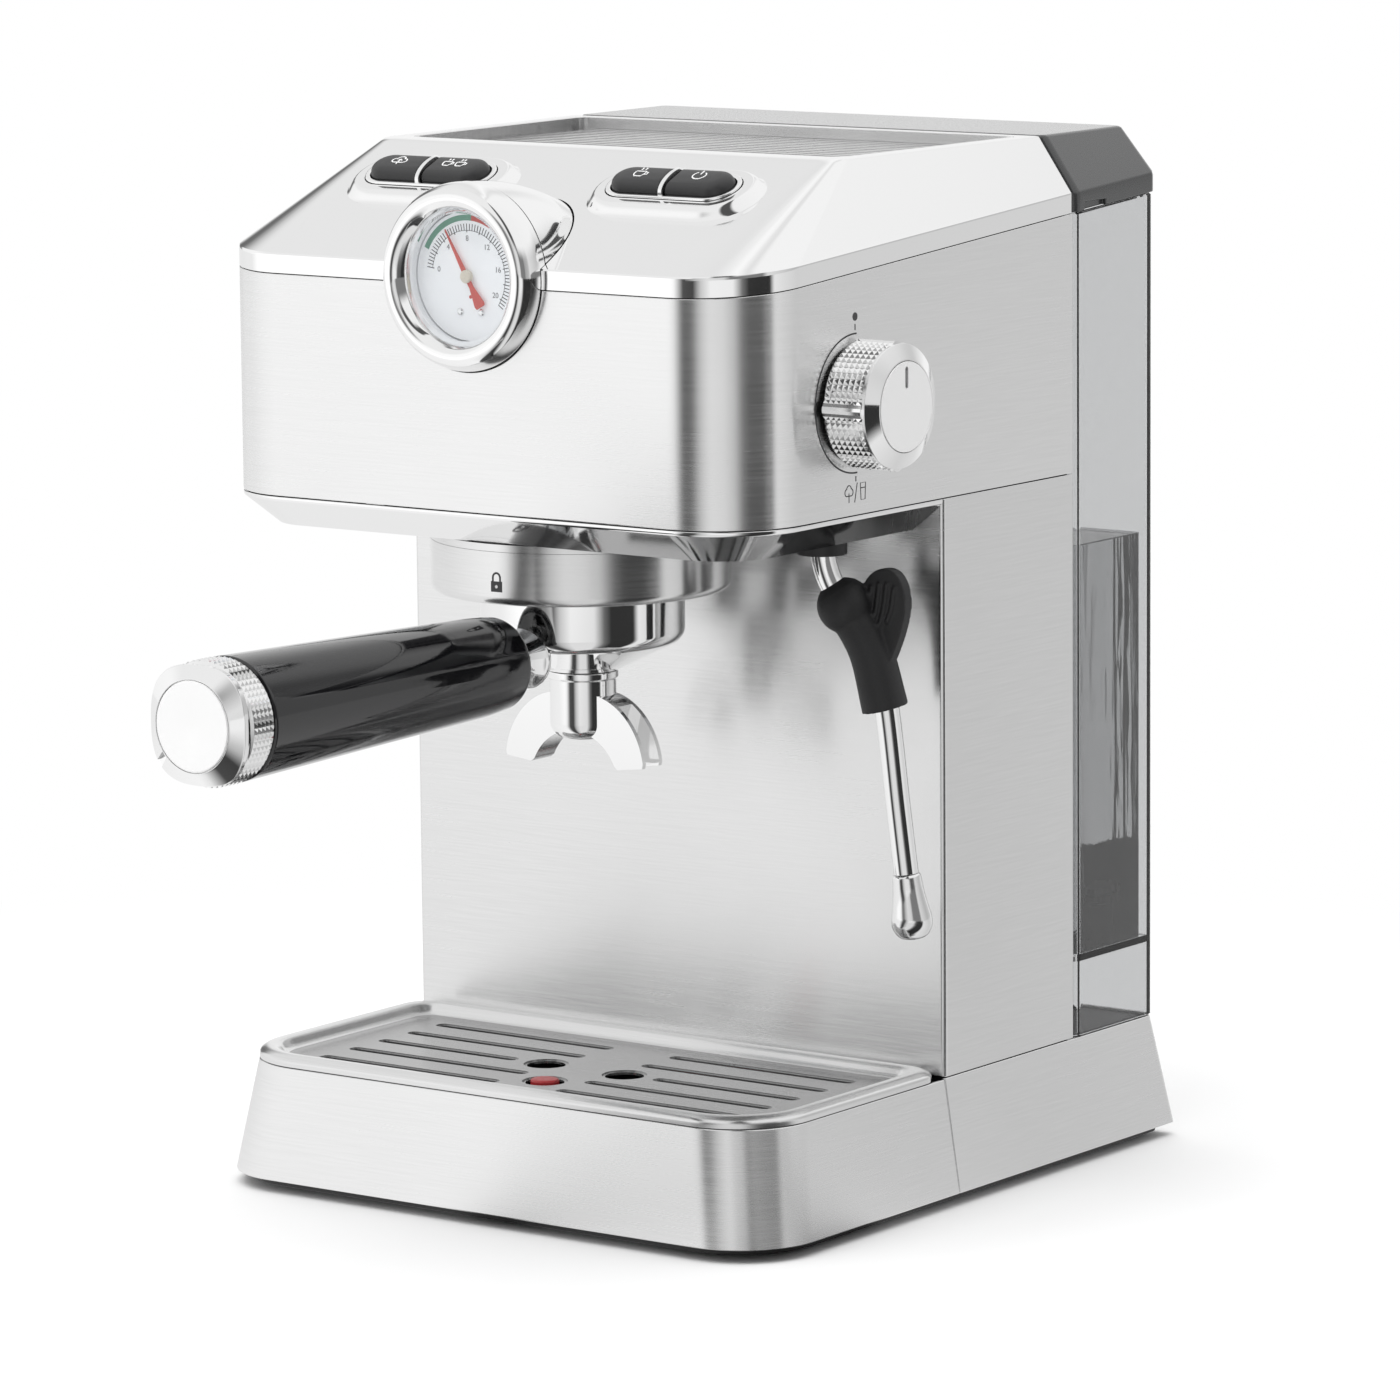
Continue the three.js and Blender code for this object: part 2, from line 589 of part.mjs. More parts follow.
function addPortafilter() {
  const here = (geometry) => moved(geometry, GROUP.x, GROUP.y);
  const bowl = turned([[0, 163], [11.5, 163], [FILTER_RADIUS - 1.2, 172.4], [FILTER_RADIUS, 174.2],
    [FILTER_RADIUS, 194], [27.8, 194], [27.8, 176], [10, 169], [4, 168], [4, 165.5], [0, 165.5]]);
  const drain = disc(4, 160, 170, {}, SMALL_ROUND);
  const lugs = common(
    ring(FILTER_RADIUS - 1, 36.4, LEDGE_TOP + 0.4, 194),
    box(-LUG_HALF, LUG_HALF, -40, 40, 180, 200),
  );
  const neck = turned([[0, 24], [9, 24], [7.2, 30], [6.6, 38], [6.6, 59], [0, 59]], SMALL_ROUND);
  const collar = forward(neck, { z: HANDLE_Z });
  const hollow = disc(27.8, 176, 200);
  part('portafilter_body', here(cut(join(bowl, collar, lugs), drain, hollow)), chrome);

  part('filter_basket', here(turned([[0, 177], [20, 177], [25, 178], [27.4, 184], [27.4, 194.3],
    [30.6, 194.3], [30.6, 195.5], [26.6, 195.5], [26.6, 184.4], [24.4, 179.2], [20, 178], [0, 178]])),
  brushedSteel);

  const arm = (side) => {
    const arch = new THREE.Shape();
    arch.moveTo(side * 6, 156);
    arch.lineTo(side * 9, 155.6);
    arch.bezierCurveTo(side * 17, 154.5, side * 24, 146.5, side * 26, 135.6);
    arch.lineTo(side * 15.6, 133.6);
    arch.bezierCurveTo(side * 13, 138.5, side * 9, 142.5, side * 4, 143.6);
    arch.closePath();
    const groove = new THREE.Shape();
    groove.moveTo(side * 11.4, 160);
    groove.lineTo(side * 11.4, 152);
    groove.bezierCurveTo(side * 15.5, 149, side * 18.6, 142, side * 19, 128);
    groove.lineTo(side * 40, 128);
    groove.lineTo(side * 40, 160);
    groove.closePath();
    const sweep = (shape, depth) => closed(new THREE.ExtrudeGeometry(shape, {
      depth, bevelEnabled: false, curveSegments: 6,
    }).translate(0, 0, -depth / 2).rotateX(Math.PI / 2));
    return cut(sweep(arch, 10), sweep(groove, 6.8));
  };
  const stem = turned([[0, 142], [7, 142], [9.4, 143.2], [10.2, 145], [10.2, 160], [10.9, 160.4],
    [10.9, 162.7], [0, 162.7]], SMALL_ROUND);
  const channel = disc(4, 148, 170, {}, SMALL_ROUND);
  part('spout', here(cut(join(stem, arm(-1), arm(1)), channel)), chrome);

  const handleProfile = [[0, -HANDLE_INNER], [12.2, -HANDLE_INNER], [13.8, -HANDLE_INNER + 1.2],
    [14.6, -HANDLE_INNER + 4], [15.6, -HANDLE_INNER + 20], [18.4, -HANDLE_OUTER], [0, -HANDLE_OUTER]];
  const grip = cut(turned(handleProfile), disc(6.9, 80, 109, {}, SMALL_ROUND));
  part('portafilter_handle', forward(grip, { z: HANDLE_Z }), glossBlack);

  const end = -HANDLE_OUTER + GAP;
  const ringLength = 9.8;
  const knurl = turned([[0, end], [18, end], [18.6, end + 0.6], [18.6, end + ringLength - 0.6],
    [18, end + ringLength], [0, end + ringLength]]);
  part('handle_knurl_ring', forward(knurl, { z: HANDLE_Z }), chrome);
  const endCap = roundSquareCap(end + ringLength + GAP, 5.2, 17.5, 13.5);
  part('handle_end_cap', forward(endCap, { z: HANDLE_Z }), chrome);
}

// Cap that goes from a rounded square to a flat round disc.
function roundSquareCap(bottom, height, half, discRadius) {
  const ringAt = (size, power) => {
    const points = [];
    for (let i = 0; i < ROUND; i += 1) {
      const angle = (2 * Math.PI * i) / ROUND;
      const [c, s] = [Math.cos(angle), Math.sin(angle)];
      const r = size / (Math.abs(c) ** power + Math.abs(s) ** power) ** (1 / power);
      points.push(new THREE.Vector2(r * c, r * s));
    }
    return points;
  };
  return loft([
    { points: ringAt(half, 2.6), z: bottom },
    { points: ringAt(half - 0.4, 2.6), z: bottom + height * 0.3 },
    { points: ringAt(discRadius, 2), z: bottom + height },
  ]);
}

// ---------------------------------------------------------------- steam knob, valve and wand

function addSteam() {
  const knob = turned([[0, KNOB_BACK], [KNOB_RADIUS - 0.6, KNOB_BACK], [KNOB_RADIUS, KNOB_BACK + 0.6],
    [KNOB_RADIUS, KNOB_FACE - 2.9], [18.2, KNOB_FACE - 2.1], [13.9, KNOB_FACE - 0.4],
    [13.7, KNOB_FACE - 1.4], [0, KNOB_FACE - 1.4]]);
  const bore = disc(3.4, 100, 113, {}, SMALL_ROUND);
  part('steam_knob', sideways(cut(knob, bore), KNOB), chrome);
  const pointer = box(-11.8, -5.4, -0.6, 0.6, KNOB_FACE - 0.5, KNOB_FACE + 2);
  part('knob_cap', sideways(cut(disc(13.4, KNOB_FACE - 1.1, KNOB_FACE), pointer), KNOB), aluminium);
  part('valve_stem', sideways(disc(3, 86, 112.6, {}, SMALL_ROUND), KNOB), brass);

  const valveProfile = [[0, 70], [9, 70], [9, 88], [7, 89], [7, 98], [3.4, 98], [3.4, 85], [0, 85]];
  part('steam_valve', sideways(turned(valveProfile, SMALL_ROUND), KNOB), brass);

  const feed = [[78, -48.3, 240.9], [78, -48.3, 235], [77, -38, 229], [76, -30, 227.5], [76, -30, 222.4]];
  part('wand_feed_pipe', tube(feed, 2.6, 8, 10), aluminium);
  part('wand_bush', moved(turned([[4.2, 201.5], [7.6, 201.5], [7.6, FLOOR_TOP + 0.1], [10.5, FLOOR_TOP + 0.1],
    [10.5, 209], [4.2, 209], [4.2, 201.5]], SMALL_ROUND), WAND.x, WAND.y), blackPlastic);

  part('wand_pipe', tube(WAND_ROUTE, WAND_PIPE_RADIUS, 10, 18), chrome);

  // The silicone sleeve follows the pipe's bend, with a bulb on top and a flat finger tab.
  const sleeveRoute = [[79.6, -28.3, 190.4], [83.5, -26.5, 184], [89.5, -24, 172], [93.2, -22, 155]];
  const sleeve = tube(sleeveRoute, 6.8, 10, 6);
  const bulb = closed(new THREE.SphereGeometry(8.6, 12, 8).translate(82.2, -27, 186));
  const tab = new THREE.Shape();
  tab.moveTo(84, 180);
  tab.bezierCurveTo(86, 190, 90, 198, 95, 198);
  tab.bezierCurveTo(101, 198, 103, 191, 102.4, 186);
  tab.bezierCurveTo(101.5, 179, 98, 174, 95, 169);
  tab.lineTo(88, 168);
  tab.closePath();
  const leaf = closed(new THREE.ExtrudeGeometry(tab, { depth: 4.6, bevelEnabled: false, curveSegments: 4 })
    .rotateX(Math.PI / 2).translate(0, -20.6, 0));
  const passage = tube(WAND_ROUTE, WAND_PIPE_RADIUS + 2 * GAP, 8, 18);
  part('wand_grip', cut(join(sleeve, bulb, leaf), passage), blackRubber);

  const direction = new THREE.Vector3(2.4, 3, -33).normalize();
  const nozzle = turned([[0, 0], [2.4, 0], [5, 1.5], [6.4, 4.8], [6.2, 8], [4.9, 14.6],
    [4.5, NOZZLE_LENGTH - 0.7], [4.1, NOZZLE_LENGTH], [0, NOZZLE_LENGTH]], SMALL_ROUND);
  const turn = new THREE.Quaternion().setFromUnitVectors(new THREE.Vector3(0, 0, -1), direction);
  const tip = new THREE.Vector3(...WAND_END).addScaledVector(direction, NOZZLE_LENGTH + GAP);
  part('wand_nozzle', nozzle.applyQuaternion(turn).translate(tip.x, tip.y, tip.z), chrome);
}

// ---------------------------------------------------------------- water tank

function addTank() {
  const plan = (inset) => outline({
    half: HALF_WIDTH - inset, front: TANK_FRONT + inset, rear: REAR - inset,
    radius: 3, rearRadius: TANK_RADIUS - inset,
  });
  const rim = (y) => headTop(y) - GAP;
  const spigot = disc(10, TANK_FLOOR - TANK_WALL - 8, TANK_FLOOR, TANK_VALVE, SMALL_ROUND);
  part('water_tank', cut(
    join(
      cut(
        loft([{ points: plan(0), z: SKIRT_TOP + GAP }, { points: plan(0), z: rim }]),
        prism(plan(TANK_WALL), TANK_FLOOR, 330),
        prism(plan(TANK_WALL), 30, TANK_FLOOR - TANK_WALL),
      ),
      spigot,
    ),
    disc(5.5, 40, 80, TANK_VALVE, SMALL_ROUND),
  ), clearPlastic);

  const lidPlan = (inset, topInset) => outline({
    half: HALF_WIDTH - inset - topInset, front: TANK_FRONT + inset, rear: REAR + LID_OVERHANG - inset,
    radius: 3, rearRadius: TANK_RADIUS - inset,
  });
  const lid = (inset, drop) => loft([
    { points: lidPlan(inset, 0), z: (y) => headTop(y) - drop },
    { points: lidPlan(inset, 0), z: (y) => headTop(y) + RIM_BAND - drop * 0.5 },
    { points: lidPlan(inset, HALF_WIDTH - PLATEAU_HALF_REAR), z: TOP - drop },
  ]);
  part('tank_lid', cut(lid(0, 0), lid(2.4, 2.4)), greyPlastic);

  const valveProfile = [[0, 54], [3.2, 54], [3.2, TANK_FLOOR + GAP], [8, TANK_FLOOR + GAP], [8, 67.5], [3, 69],
    [0, 69]];
  part('tank_valve', moved(turned(valveProfile, SMALL_ROUND), TANK_VALVE.x, TANK_VALVE.y), blackRubber);

  const bench = prism(outline({ half: 34, front: 78, rear: 107, radius: 4, rearRadius: 4 }), SKIRT_TOP, 47);
  const socketProfile = [[2, 31], [5.6, 31], [5.6, SKIRT_TOP], [12, 46], [12, 53.4], [2, 53.4], [2, 31]];
  const socket = turned(socketProfile, SMALL_ROUND);
  part('tank_dock', cut(
    join(bench, moved(socket, TANK_VALVE.x, TANK_VALVE.y)),
    disc(2, 30, 60, TANK_VALVE, SMALL_ROUND),
  ), greyPlastic);
}

// ---------------------------------------------------------------- works inside

function addWorks() {
  const pumpPlace = [-30, 34];
  const pump = join(
    turned([[0, 66], [3, 66], [3, 74], [13, 74], [13, 126], [6, 128], [6, 134], [0, 134]], SMALL_ROUND),
    box(-18, 18, -18, 18, 84, 116),
  );
  part('pump', moved(pump, ...pumpPlace), blackPlastic);
  part('boiler', moved(turned([[0, 209.4], [30, 209.4], [33, 212], [33, 246], [28, 251], [0, 252]]),
    GROUP.x, GROUP.y), aluminium);
  part('suction_hose', tube([[0, 92, 30.6], [0, 92, 25], [-2, 80, 16], [-20, 50, 20], [-30, 34, 46],
    [-30, 34, 65.6]], 3.6, 8, 14), silicone);
  part('pressure_pipe', tube([[-30, 34, 134.4], [-30, 33, 170], [-29, 28, 208], [-18, 10, 232], [0, -9, 236],
    [0, -15.2, 236]], 2.6, 8, 16), aluminium);
  part('steam_pipe', tube([[22, -47.5, 252.6], [23, -47.5, 262], [40, -48, 265], [55, -48.3, 254],
    [62, -48.3, 250.2], [69.6, -48.3, 250.2]], 2.6, 8, 14), aluminium);

  // Board under the buttons, cut away round the gauge, with one switch for each button.
  const board = new THREE.Shape([[-74, -14], [-25, -14], [-25, 17], [25, 17], [25, -14], [74, -14], [74, 24],
    [-74, 24]].map(([x, y]) => new THREE.Vector2(x, y)));
  const switches = [-1, 1].flatMap((pair) => [-1, 1].map((side) => {
    const x = pair * BUTTON_X + side * 11;
    return box(x - 3, x + 3, -3, 3, -13, -6.6);
  }));
  const thickness = { depth: 1.6, bevelEnabled: false };
  const plate = closed(new THREE.ExtrudeGeometry(board, thickness).translate(0, 0, -14));
  part('circuit_board', onPanel(join(plate, ...switches), 0), greenBoard);
}

addBase();
addChassis();
addDripTray();
addColumn();
addHead();
addTopCover();
addGauge();
addGroup();
addPortafilter();
addSteam();
addTank();
addWorks();

// The origin is the middle of the footprint, on the floor.
const extent = new THREE.Box3().setFromObject(machine);
const middle = extent.getCenter(new THREE.Vector3());
machine.position.set(-middle.x, -middle.y, -extent.min.z);
machine.updateMatrixWorld(true);

export default machine;
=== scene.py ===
"""Looks of an espresso machine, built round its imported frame.

Lengths in this script are millimetres in the machine's own frame: x = 0 is its middle plane, the head's
front is at y = HEAD_FRONT and z = 0 is the floor. shape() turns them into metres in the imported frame.
"""

import json
import math

import bmesh
import bpy
from mathutils import Matrix, Vector


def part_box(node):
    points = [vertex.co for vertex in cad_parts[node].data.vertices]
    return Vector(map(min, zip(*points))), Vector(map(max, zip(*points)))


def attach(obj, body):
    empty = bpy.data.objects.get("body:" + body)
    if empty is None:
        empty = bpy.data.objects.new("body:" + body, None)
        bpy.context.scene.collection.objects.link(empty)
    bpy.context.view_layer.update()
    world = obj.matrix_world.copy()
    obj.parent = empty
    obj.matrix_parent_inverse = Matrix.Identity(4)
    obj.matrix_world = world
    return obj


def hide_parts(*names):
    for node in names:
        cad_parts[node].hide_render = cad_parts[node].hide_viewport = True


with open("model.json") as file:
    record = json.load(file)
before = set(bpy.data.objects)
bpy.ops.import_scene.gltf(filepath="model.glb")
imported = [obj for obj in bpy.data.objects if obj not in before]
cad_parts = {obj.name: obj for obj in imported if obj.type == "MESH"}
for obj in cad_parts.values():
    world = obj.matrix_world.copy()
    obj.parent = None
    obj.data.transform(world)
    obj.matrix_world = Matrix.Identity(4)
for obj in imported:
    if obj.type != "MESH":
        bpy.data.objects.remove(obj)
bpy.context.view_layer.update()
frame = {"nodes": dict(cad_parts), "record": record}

# ---------------------------------------------------------------- dimensions

MM = 0.001
HEAD_FRONT = -104.5
head_low, head_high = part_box("head_shell")
OFFSET = Vector(((head_low.x + head_high.x) / 2 / MM, head_low.y / MM - HEAD_FRONT, 0))


def box_mm(node):
    """Lowest and highest corner of a CAD node in this script's frame."""
    low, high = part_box(node)
    return low / MM - OFFSET, high / MM - OFFSET


GAP = 0.3
SHEET = 1.2
HALF_WIDTH = box_mm("head_shell")[1].x
STEEL_REAR = box_mm("head_shell")[1].y
HEAD_BOTTOM = box_mm("head_shell")[0].z
COLUMN_FRONT = box_mm("column_shell")[0].y
TANK_FRONT = box_mm("water_tank")[0].y
REAR = box_mm("water_tank")[1].y
LID_REAR = box_mm("tank_lid")[1].y
TOP = box_mm("top_cover")[1].z
TRAY_REAR = box_mm("tray_skirt")[1].y
SKIRT_BOTTOM = box_mm("rear_base_skirt")[0].z
SKIRT_TOP = box_mm("rear_base_skirt")[1].z
SKIRT_FLARE = box_mm("rear_base_skirt")[1].x - HALF_WIDTH
TRAY_FRONT = box_mm("drip_grid")[0].y
GRID_CREST = box_mm("drip_grid")[1].z
BASE_RADIUS = 25
REAR_RADIUS = 3.5
INLET_X = -70
INLET_Z = 18
INLET_RADIUS = 6.8

HEAD_TOP_FRONT = 284.5
HEAD_TOP_SLOPE = 12.6 / (STEEL_REAR - HEAD_FRONT)
HEAD_RADIUS = 28
RIM_BAND = 6
TRIM_INSET = 10.8
TRIM_LIP = 1.2
PLATEAU_FRONT = -36
PLATEAU_HALF_FRONT = 86.5
PLATEAU_HALF_REAR = 89
WELL_HALF_FRONT = 82
WELL_HALF_REAR = 84
WELL_FRONT = -28
WELL_REAR = 65.5
PANEL_FOOT = HEAD_TOP_FRONT + GAP + RIM_BAND
PANEL_ANGLE = math.atan2(TOP - PANEL_FOOT, PLATEAU_FRONT - HEAD_FRONT)

GAUGE_Z = 287.2
GAUGE_RADIUS = 28.2
HOUSING_FRONT = 101.3
HOUSING_LENGTH = 53
BEZEL_BACK = HOUSING_FRONT + GAP
DIAL_RADIUS = 19.2
DIAL_FACE = 102.75
NEEDLE_ANGLE = 30

BUTTON_X = 45.6
BUTTON_Y = -60.6
BUTTON_LENGTH = 43
BUTTON_WIDTH = 12.6
BUTTON_CROWN = 4.1
BOSS_HEIGHT = 3.2
BOSS_SLOPE = 4.5

GROUP_Y = -48.8
COLLAR_RADIUS = 45.8
COLLAR_BOTTOM = box_mm("group_collar")[0].z
COLLAR_TOP = box_mm("group_collar")[1].z
FILTER_RADIUS = 31.3
HANDLE_Z = 170
HANDLE_INNER = -box_mm("portafilter_handle")[1].y
HANDLE_OUTER = -box_mm("portafilter_handle")[0].y

KNOB_Y = -48.3
KNOB_Z = 250.2
KNOB_RADIUS = 19.4
KNOB_BACK = box_mm("steam_knob")[0].x
KNOB_FACE = box_mm("knob_cap")[1].x

WAND_ROUTE = [
    (76, -30, 221.9), (76, -30, 212), (76, -30, 203), (78.2, -29, 193.5), (83.5, -26.5, 184),
    (89.5, -24, 172), (93.2, -22, 158), (95.6, -19, 125), (97.1, -17.1, 104.6),
]
WAND_RADIUS = 3.8
NOZZLE_LENGTH = 20.6

TANK_WALL = 2.2
TANK_FLOOR = 65
WATER_LEVEL = 194
WATER_SETBACK = 4
FINGER_Y = 82
FINGER_HALF = 6
GRID_FIELD = 38.6
SLOT_PITCH = 14.6
SLOT_MIDDLE_Y = -50
SLOT_OUTER_END = 79.5
SLOT_INNER_END = 12
MIDDLE_SLOT_INNER_END = 27
SLOT_WIDTH = 3
PRESSED_RIM = 0.8
PRESSED_DEPTH = 0.45
HOLE_RADIUS = 6
FINGER_HOLE_X = 15
FLOAT_Y = -70.5

KNOB_POINTER_X = 8.6
DIAL_START = -82

CAMERA_LENS = 183.15
CAMERA_PLACE = (1288.78, -1762.33, 490.34)
CAMERA_AZIMUTH = 35.997
CAMERA_ELEVATION = 8.946
CAMERA_ROLL = -0.521

CORNER_STEPS = 14
ROUND = 96
SMOOTH_BELOW = 38

BODY_OF = {node: body for body, nodes in frame["record"]["behaviour"]["bodies"].items() for node in nodes}


def head_top(y):
    return HEAD_TOP_FRONT + HEAD_TOP_SLOPE * (y - HEAD_FRONT)


def panel_height(y):
    return PANEL_FOOT + math.tan(PANEL_ANGLE) * (y - HEAD_FRONT)


# ---------------------------------------------------------------- where a shape drawn at the origin goes


def upright(x=0, y=0, z=0):
    return lambda p: (p[0] + x, p[1] + y, p[2] + z)


def forward(z, x=0):
    """A shape's own height runs towards the front."""
    return lambda p: (p[0] + x, -p[2], p[1] + z)


def sideways(y, z):
    """A shape's own height runs towards +X, and its own x runs down."""
    return lambda p: (p[2], p[1] + y, z - p[0])


def on_panel(x):
    """A shape's own z = 0 is the top of the raised pad round a pair of buttons."""
    cosine, sine = math.cos(PANEL_ANGLE), math.sin(PANEL_ANGLE)
    return lambda p: (
        p[0] + x,
        BUTTON_Y + p[1] * cosine - (p[2] + BOSS_HEIGHT) * sine,
        panel_height(BUTTON_Y) + p[1] * sine + (p[2] + BOSS_HEIGHT) * cosine,
    )


def round_collar(p):
    """Wraps a drawing, with x to the right and y up, round the front of the group collar."""
    angle = math.radians(-90) + p[0] / COLLAR_RADIUS
    radius = COLLAR_RADIUS + p[2]
    return (radius * math.cos(angle), GROUP_Y + radius * math.sin(angle), p[1])


def on_knob_side(p):
    """Lays a drawing, with x to the rear and y up from the knob's axis, on the head's right side."""
    return (HALF_WIDTH + p[2], KNOB_Y + p[0], KNOB_Z + p[1])


# ---------------------------------------------------------------- outlines


def arc(x, y, radius, start, stop, steps=CORNER_STEPS):
    angles = [math.radians(start + (stop - start) * i / steps) for i in range(steps + 1)]
    return [(x + radius * math.cos(a), y + radius * math.sin(a)) for a in angles]


def outline(half, front, rear, radius, rear_half=None, rear_radius=1.0):
    """Closed plan with rounded corners, anticlockwise from the front left. The sides may taper."""
    rear_half = half if rear_half is None else rear_half
    return (
        arc(-half + radius, front + radius, radius, 180, 270)
        + arc(half - radius, front + radius, radius, 270, 360)
        + arc(rear_half - rear_radius, rear - rear_radius, rear_radius, 0, 90)
        + arc(-rear_half + rear_radius, rear - rear_radius, rear_radius, 90, 180)
    )


def front_wall(half, front, rear, radius):
    """Plan of a wall that is open at the rear."""
    return [(-half, rear), *arc(-half + radius, front + radius, radius, 180, 270),
            *arc(half - radius, front + radius, radius, 270, 360), (half, rear)]


def rear_wall(half, front, rear, radius):
    """Plan of a wall that is open at the front."""
    return [(half, front), *arc(half - radius, rear - radius, radius, 0, 90),
            *arc(-half + radius, rear - radius, radius, 90, 180), (-half, front)]


def pill(length, width, steps=16):
    reach = (length - width) / 2
    return arc(reach, 0, width / 2, -90, 90, steps) + arc(-reach, 0, width / 2, 90, 270, steps)


def circle(radius, steps=ROUND):
    return arc(0, 0, radius, 0, 360 * (steps - 1) / steps, steps - 1)


def fillet(points, closed=False, steps=4):
    """Rounds the corners of a line. A point's third number is how far from it the rounding starts."""
    smooth = []
    count = len(points)
    for i, point in enumerate(points):
        here = Vector(point[:2])
        reach = point[2] if len(point) > 2 else 0
        if not reach or (not closed and i in (0, count - 1)):
            smooth.append(tuple(here))
            continue
        before = Vector(points[i - 1][:2]) - here
        after = Vector(points[(i + 1) % count][:2]) - here
        reach = min(reach, before.length * 0.48, after.length * 0.48)
        start, stop = here + before.normalized() * reach, here + after.normalized() * reach
        for k in range(steps + 1):
            t = k / steps
            smooth.append(tuple(start * (1 - t) ** 2 + here * 2 * t * (1 - t) + stop * t * t))
    return smooth


def lift(points, z):
    """A plan at a height, which may be a function of y."""
    return [(x, y, z(y) if callable(z) else z) for x, y in points]


def mix(first, second, share):
    return [tuple(Vector(a).lerp(Vector(b), share)) for a, b in zip(first, second)]


# ---------------------------------------------------------------- meshes


def placed(name, data):
    """A new object in the scene."""
    made = bpy.data.objects.new(name, data)
    bpy.context.scene.collection.objects.link(made)
    return made


def shape(name, points, faces, place=upright()):
    """A new object from points in millimetres, with its faces pointing out."""
    mesh = bpy.data.meshes.new(name)
    mesh.from_pydata([(Vector(place(p)) + OFFSET) * MM for p in points], [], faces)
    work = bmesh.new()
    work.from_mesh(mesh)
    bmesh.ops.remove_doubles(work, verts=work.verts, dist=1e-7)
    bmesh.ops.dissolve_degenerate(work, edges=work.edges, dist=1e-7)
    bmesh.ops.recalc_face_normals(work, faces=work.faces)
    work.to_mesh(mesh)
    work.free()
    return placed(name, mesh)


def skin(name, rings, place=upright(), loop=False):
    """Joins rings that have the same number of points. A loop joins the last ring to the first."""
    count = len(rings[0])
    points = [p for ring in rings for p in ring]
    faces = []
    for k in range(len(rings) if loop else len(rings) - 1):
        low, high = k * count, (k + 1) % len(rings) * count
        for i in range(count):
            j = (i + 1) % count
            faces.append((low + i, low + j, high + j, high + i))
    if not loop:
        faces.append(tuple(reversed(range(count))))
        faces.append(tuple(range(len(points) - count, len(points))))
    return shape(name, points, faces, place)


def wall(name, levels):
    """A wall along an open plan. The levels go once round the wall's own section."""
    return skin(name, [list(section) for section in zip(*levels)])


def prism(name, points, low, high, place=upright()):
    return skin(name, [lift(points, low), lift(points, high)], place)


def turned(name, profile, place=upright(), steps=ROUND, loop=False):
    """Solid of revolution from (radius, height) pairs. A loop is a ring that closes on itself."""
    rings = [lift(circle(max(radius, 0.01), steps), height) for radius, height in profile]
    return skin(name, rings, place, loop)


def swept(name, route, section, samples=8, place=upright()):
    """Sweeps a section, a list of (u, v) or a function of the share travelled, along a smooth route."""
    ends = [2 * Vector(route[0]) - Vector(route[1]), 2 * Vector(route[-1]) - Vector(route[-2])]
    control = [ends[0], *[Vector(p) for p in route], ends[1]]
    line = []
    for i in range(1, len(control) - 2):
        a, b, c, d = control[i - 1:i + 3]
        for k in range(samples):
            t = k / samples
            line.append(0.5 * (2 * b + (c - a) * t + (2 * a - 5 * b + 4 * c - d) * t ** 2
                               + (3 * b - a - 3 * c + d) * t ** 3))
    line.append(control[-2])
    side = None
    rings = []
    for i, here in enumerate(line):
        ahead = (line[min(i + 1, len(line) - 1)] - line[max(i - 1, 0)]).normalized()
        if side is None:
            side = ahead.orthogonal()
        side = (side - ahead * side.dot(ahead)).normalized()
        up = ahead.cross(side)
        drawn = section(i / (len(line) - 1)) if callable(section) else section
        rings.append([tuple(here + side * u + up * v) for u, v in drawn])
    return skin(name, rings, place)


def ribbon(name, points, width, low, high, place, closed=False):
    """A flat printed or applied line of the given width along a drawing."""
    count = len(points)
    rings = []
    for i, (x, y) in enumerate(points):
        before = points[i - 1] if closed or i else points[0]
        after = points[(i + 1) % count] if closed or i + 1 < count else points[-1]
        along = Vector((after[0] - before[0], after[1] - before[1])).normalized() * width / 2
        left, right = (x - along.y, y + along.x), (x + along.y, y - along.x)
        rings.append([(*left, low), (*left, high), (*right, high), (*right, low)])
    return skin(name, rings, place, loop=closed)


def joined(name, pieces):
    """Several objects as one, each a closed body of its own."""
    points, faces = [], []
    for piece in pieces:
        start = len(points)
        points += [v.co[:] for v in piece.data.vertices]
        faces += [tuple(start + i for i in face.vertices) for face in piece.data.polygons]
        bpy.data.objects.remove(piece)
    mesh = bpy.data.meshes.new(name)
    mesh.from_pydata(points, [], faces)
    return placed(name, mesh)


def settled(piece):
    """Applies a piece's modifiers."""
    bpy.context.view_layer.update()
    mesh = bpy.data.meshes.new_from_object(piece.evaluated_get(bpy.context.evaluated_depsgraph_get()))
    piece.modifiers.clear()
    piece.data = mesh
    return piece


def combined(piece, tools, operation):
    for tool in tools:
        modifier = piece.modifiers.new("shape", "BOOLEAN")
        modifier.operation = operation
        modifier.solver = "EXACT"
        modifier.object = tool
        settled(piece)
        bpy.data.objects.remove(tool)
    return piece


def cut(piece, *tools):
    return combined(piece, tools, "DIFFERENCE")


def united(piece, *others):
    return combined(piece, others, "UNION")


def paint(piece, material):
    """Gives a piece one of MATERIALS in place of what it has."""
    piece.data.materials.clear()
    piece.data.materials.append(MATERIALS[material])


def soften(piece, edge, sharp, segments):
    """Bevels the edges that are sharper than an angle in degrees, by a width in millimetres."""
    bevel = piece.modifiers.new("edges", "BEVEL")
    bevel.width = edge * MM
    bevel.segments = segments
    bevel.limit_method = "ANGLE"
    bevel.angle_limit = math.radians(sharp)
    return bevel


def dress(piece, material, edge=0, sharp=35):
    """Gives a piece its material, soft edges of the given width in millimetres, and smooth shading."""
    paint(piece, material)
    piece.data.shade_smooth()
    piece.data.set_sharp_from_angle(angle=math.radians(sharp))
    if edge:
        soften(piece, edge, sharp, 3).harden_normals = True
    normals = piece.modifiers.new("normals", "WEIGHTED_NORMAL")
    normals.keep_sharp = True
    return piece


